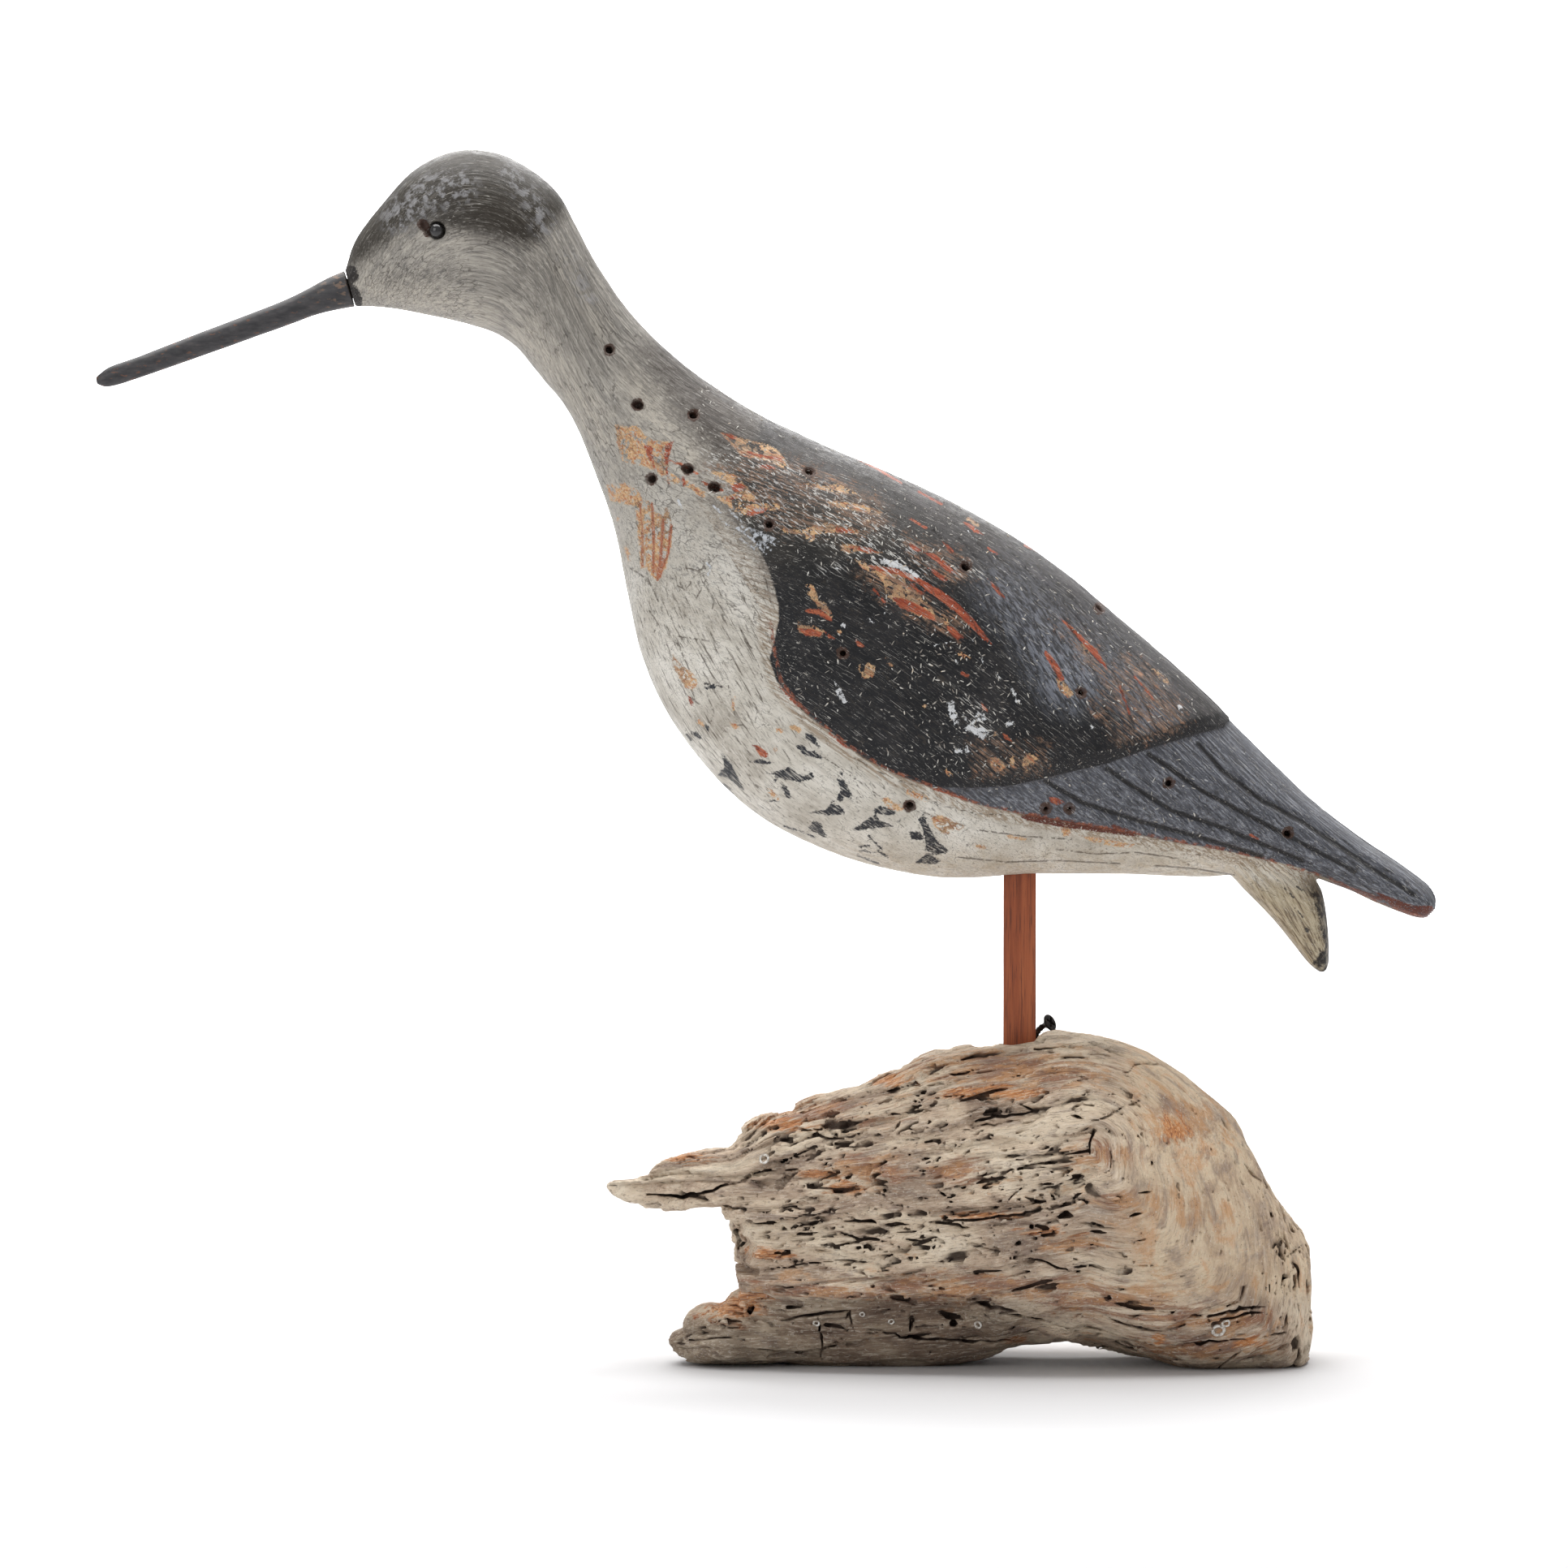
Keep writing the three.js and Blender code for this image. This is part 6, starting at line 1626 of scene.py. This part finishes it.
# Fine cracks: long ones high on the bird and a net of them lower down.
long_cracks = cracks(f.stretch(flow, (0.16, 1.0, 1.0)), 0.62, 0.05, 3.0)
net_cracks = cracks(f.stretch(flow, (0.42, 1.0, 1.0)), 0.42, 0.020, 9.0)
crazed = f.add(f.both(long_cracks, f.band(height, 0.212, 0.232)),
               f.both(net_cracks, f.band(height, 0.232, 0.212)))
crazed = f.both(crazed, f.band(blots, 0.42, 0.54))
colour = f.coats(
    colour,
    ((58, 52, 46), crazed, 0.6),
    ((70, 65, 58), f.band(fine_hairs, 0.585, 0.635, 0, 0.55)),
    ((226, 222, 214), f.band(fine_hairs, 0.40, 0.32, 0, 0.38)),
    ((212, 208, 200), f.band(crumbs, 0.70, 0.74, 0, 0.55)),
    # Painted shade: darker in the hollows of the carving.
    ((30, 26, 24), f.where("bulge", -0.05, -0.6, 0, 0.8)))
normal = f.bump(hairs, 0.4, 0.0003)
normal = f.bump(crumbs, 0.25, 0.0002, normal)
normal = f.bump(crazed, -0.35, 0.0002, normal)
bird_piece.data.materials.append(f.surface({
    "Base Color": colour, "Roughness": f.add(f.band(specks, 0.3, 0.7, 0.42, 0.62), f.both(cap_share, -0.08)),
    "Normal": normal, "Specular IOR Level": 0.32}))
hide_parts("bird")
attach(bird_piece, "root")


# THE PAINT FLECKS
# Light crumbs and dashes of an older paint that still cling to the dark wing and the back,
# each a millimetre or two long and lying every way.
f = Finish("fleck_paint")
shade = f.grainy(f.place(1000), 0.35, 3.0, 0.6)
colour = f.ramp(shade, (0.36, 120, 112, 104), (0.50, 176, 172, 164), (0.60, 208, 206, 200),
                (0.72, 196, 168, 128))
f.surface({"Base Color": colour, "Roughness": 0.6, "Normal": f.bump(shade, 0.3, 0.0003)})

flecks = Recipe("paint flecks")
scatter = flecks.step("GeometryNodeDistributePointsOnFaces", {
    0: flecks.given.outputs[0], "Density Max": flecks.size("Flecks per square metre"),
    "Distance Min": flecks.size("Closest"), "Density Factor": flecks.stored("spatter"),
    "Seed": flecks.size("Seed", "NodeSocketInt")}, distribute_method="POISSON")
crumb = flecks.step("GeometryNodeMeshIcoSphere", {"Radius": 0.001, "Subdivisions": 1})
FULL_TURN = 6.283
spin = flecks.step("FunctionNodeRandomValue", {0: (0, 0, 0), 1: (0, 0, FULL_TURN), "Seed": 5},
                   data_type="FLOAT_VECTOR")
turned_flat = flecks.step("FunctionNodeRotateRotation", {0: scatter.node.outputs["Rotation"], 1: spin},
                          rotation_space="LOCAL")
small, large = (flecks.step("ShaderNodeCombineXYZ", {0: flecks.size(long), 1: flecks.size(wide), 2: thick})
                for long, wide, thick in (("Shortest", "Thinnest", 0.10), ("Longest", "Thickest", 0.22)))
sizes = flecks.step("FunctionNodeRandomValue", {0: small, 1: large, "Seed": 6}, data_type="FLOAT_VECTOR")
strewn = flecks.step("GeometryNodeInstanceOnPoints", {
    0: scatter, "Instance": crumb, "Rotation": turned_flat, "Scale": sizes})
paint_flecks = flecks.make("paint_flecks", bird_piece.data.copy(), strewn, f.material, {
    "Flecks per square metre": 240000.0, "Closest": 0.0009, "Seed": 3, "Shortest": 0.10, "Longest": 0.95,
    "Thinnest": 0.09, "Thickest": 0.24, "Unevenness": 0.0003})
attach(paint_flecks, "root")


# THE BILL
# A slender peg of hard wood, whittled to a point and painted black. A round tenon at its thick
# end is glued into the face, and the paint is chipped along it, most of all there.
BILL = [
    [18.6, 45.2, 19.4, 42.5, 1.15], [17.4, 44.7, 18.3, 42.3, 1.07], [15.9, 43.9, 16.6, 41.9, 0.90],
    [13.8, 42.9, 14.4, 41.1, 0.82], [6.8, 40.2, 7.4, 38.6, 0.71], [3.2, 38.8, 3.7, 37.3, 0.66],
    [1.0, 38.0, 1.5, 36.6, 0.55], [0.3, 37.5, 0.7, 36.5, 0.40], [0.0, 37.2, 0.1, 36.7, 0.15]]
TENON, TENON_LENGTH, TENON_START = 5.0, 9.6, 3
BILL_STEPS, BILL_ROUNDNESS = 14, 2.1


def peg(start, end, radius, count=40):
    """Rings of a round peg with softened ends."""
    length = np.linalg.norm(end - start)
    way = (end - start) / length
    side = np.cross(way, [0, 1, 0])
    angle = np.linspace(0, 2 * math.pi, count, endpoint=False)[:, None]
    circle = side * np.cos(angle) + np.array([0, 1, 0]) * np.sin(angle)
    stations = [(0.0, 0.85), (0.3, 1.0)] + [(t, 1.0) for t in np.linspace(0.5, length - 0.5, 12)]
    stations += [(length - 0.3, 1.0), (length, 0.8)]
    return np.array([start + way * d + circle * radius * r for d, r in stations])


blade = bird_rings(BILL, BILL_STEPS, BILL_ROUNDNESS, BIRD_UNIT, 64) - INTO_FACE * SEAM
tenon = peg(BILL_ROOT - INTO_FACE * TENON_START, BILL_ROOT + INTO_FACE * TENON_LENGTH, TENON / 2)
bill = Blank([skin(blade), skin(tenon)], 0.28, reach=1.4)
points, quads = bill.surface()
points = soften(points, quads, 2)
out = outward(points, quads)
whittled = smooth(((BILL_ROOT - points) @ INTO_FACE) / 3)
facets = 0.07 * noise(points / [11, 2.2, 5], 41) + 0.03 * noise(points / [3, 1, 1.5], 42) - 0.05
points = points + out * (facets * whittled)[:, None]
bill = thin_out("bill_painted", make_mesh("bill", points, quads), 60000)
paint_on(bill.data, "to_face", (BILL_ROOT - corners_of(bill.data)) @ INTO_FACE)

f = Finish("bill_black")
place = f.place()
run = f.stored("to_face")
grit = f.grainy(place, (260, 900, 900), 4.0, 0.6)
chips = f.grainy(place, (380, 800, 800), 3.0, 0.55)
colour = f.coats(
    f.ramp(grit, (0.35, 36, 36, 39), (0.6, 58, 56, 58), (0.75, 74, 68, 66)),
    ((98, 66, 50), f.band(chips, 0.62, 0.68, 0, 0.85)),
    ((128, 104, 84), f.band(run, 14, 1), f.band(chips, 0.54, 0.60), 0.55),
    ((48, 42, 38), f.band(run, 0.9, 0.4)))
normal = f.bump(grit, 0.3, 0.0002)
bill.data.materials.append(f.surface({
    "Base Color": colour, "Roughness": 0.42, "Normal": normal, "Specular IOR Level": 0.5}))
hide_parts("bill")
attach(bill, "root")


# THE EYES
# Dark glass beads. Each is pushed into a carved hole that is wider than the bead, so that a dark
# ring shows round it.
def bead_eye(name, piece_name, hand):
    low, high = box_of(name)
    centre, radius = (low + high) / 2, (high[0] - low[0]) / 2
    turn = np.linspace(0.02, math.pi - 0.02, 40)
    outline = [[radius * math.sin(a) * 0.995, -radius * math.cos(a) * 0.985] for a in turn]
    rings = turned(outline, 48)[..., [0, 2, 1]] * [1, hand, 1]
    return closed_piece(piece_name, *skin(rings + centre))


glass = Finish("dark_glass").surface({"Base Color": tone(22, 20, 22), "Roughness": 0.12, "IOR": 1.5,
                                      "Coat Weight": 0.5, "Coat Roughness": 0.05})
for name, piece_name, hand in (("eye_left", "eye_bead_left", -1), ("eye_right", "eye_bead_right", 1)):
    eye = bead_eye(name, piece_name, hand)
    eye.data.materials.append(glass)
    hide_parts(name)
    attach(eye, "root")


# THE FLOOR, THE LIGHT AND THE CAMERA
# A floor of pale paper, and a lit white sheet that stands far behind it. A broad soft lamp hangs
# overhead, a second lights the background and a faint one the front. The camera has a long lens.
def sheet(name, corners, finish):
    mesh = make_mesh(name, np.array(corners, float) * 1000, np.array([[0, 1, 2, 3]]))
    mesh.materials.append(finish)
    put_in_scene(name, mesh)


def lamp(name, place, aim, size, watts, colour=(1, 1, 1)):
    """A rectangular lamp, with its size in metres."""
    data = bpy.data.lights.new(name, "AREA")
    data.shape, data.energy, data.color = "RECTANGLE", watts, colour
    data.size, data.size_y = size
    light = put_in_scene(name, data)
    light.location = place
    light.rotation_euler = (Vector(aim) - Vector(place)).to_track_quat("-Z", "Y").to_euler()


paper = Finish("white_paper").surface({"Base Color": (0.62, 0.62, 0.63), "Roughness": 0.9})
lit_paper = Finish("lit_paper").surface({
    "Base Color": (0.9, 0.9, 0.9), "Roughness": 0.9, "Emission Color": (1, 1, 1), "Emission Strength": 1.5})
sheet("floor", [(-6, -3, 0), (6, -3, 0), (6, 3, 0), (-6, 3, 0)], paper)
sheet("wall", [(-0.6, 3, 0), (0.6, 3, 0), (0.6, 3, 0.9), (-0.6, 3, 0.9)], lit_paper)
lamp("overhead", (0, 0.3, 1.6), (0, 0, 0.1), (2.0, 1.6), 42, (1, 0.99, 0.98))
lamp("background", (0, 2.2, 1.2), (0, 2.3, 0), (1.6, 1.0), 60)
lamp("front_left", (-1.3, -1.6, 0.9), (0, 0, 0.15), (1.4, 1.4), 10)

SKY_LIGHT = 0.5
world = bpy.data.worlds.new("studio")
world.use_nodes = True
sky = world.node_tree.nodes["Background"].inputs
sky["Color"].default_value, sky["Strength"].default_value = (1, 1, 1, 1), SKY_LIGHT
bpy.context.scene.world = world
bpy.context.scene.view_settings.view_transform = "Standard"

DISTANCE, PICTURE, SENSOR = 6.0, 1932, 36
camera = put_in_scene("camera", bpy.data.cameras.new("camera"))
camera.data.sensor_width = SENSOR
camera.data.lens = SENSOR * DISTANCE / (PICTURE / STEPS / 1000)
target = from_seen(PICTURE / 2, PICTURE / 2, 0.0) / 1000
camera.location = target + DISTANCE * np.array([0, -math.cos(TILT), math.sin(TILT)])
camera.rotation_euler = (math.pi / 2 - TILT, 0, 0)
camera.data.clip_start, camera.data.clip_end = 0.1, 60
bpy.context.scene.camera = camera
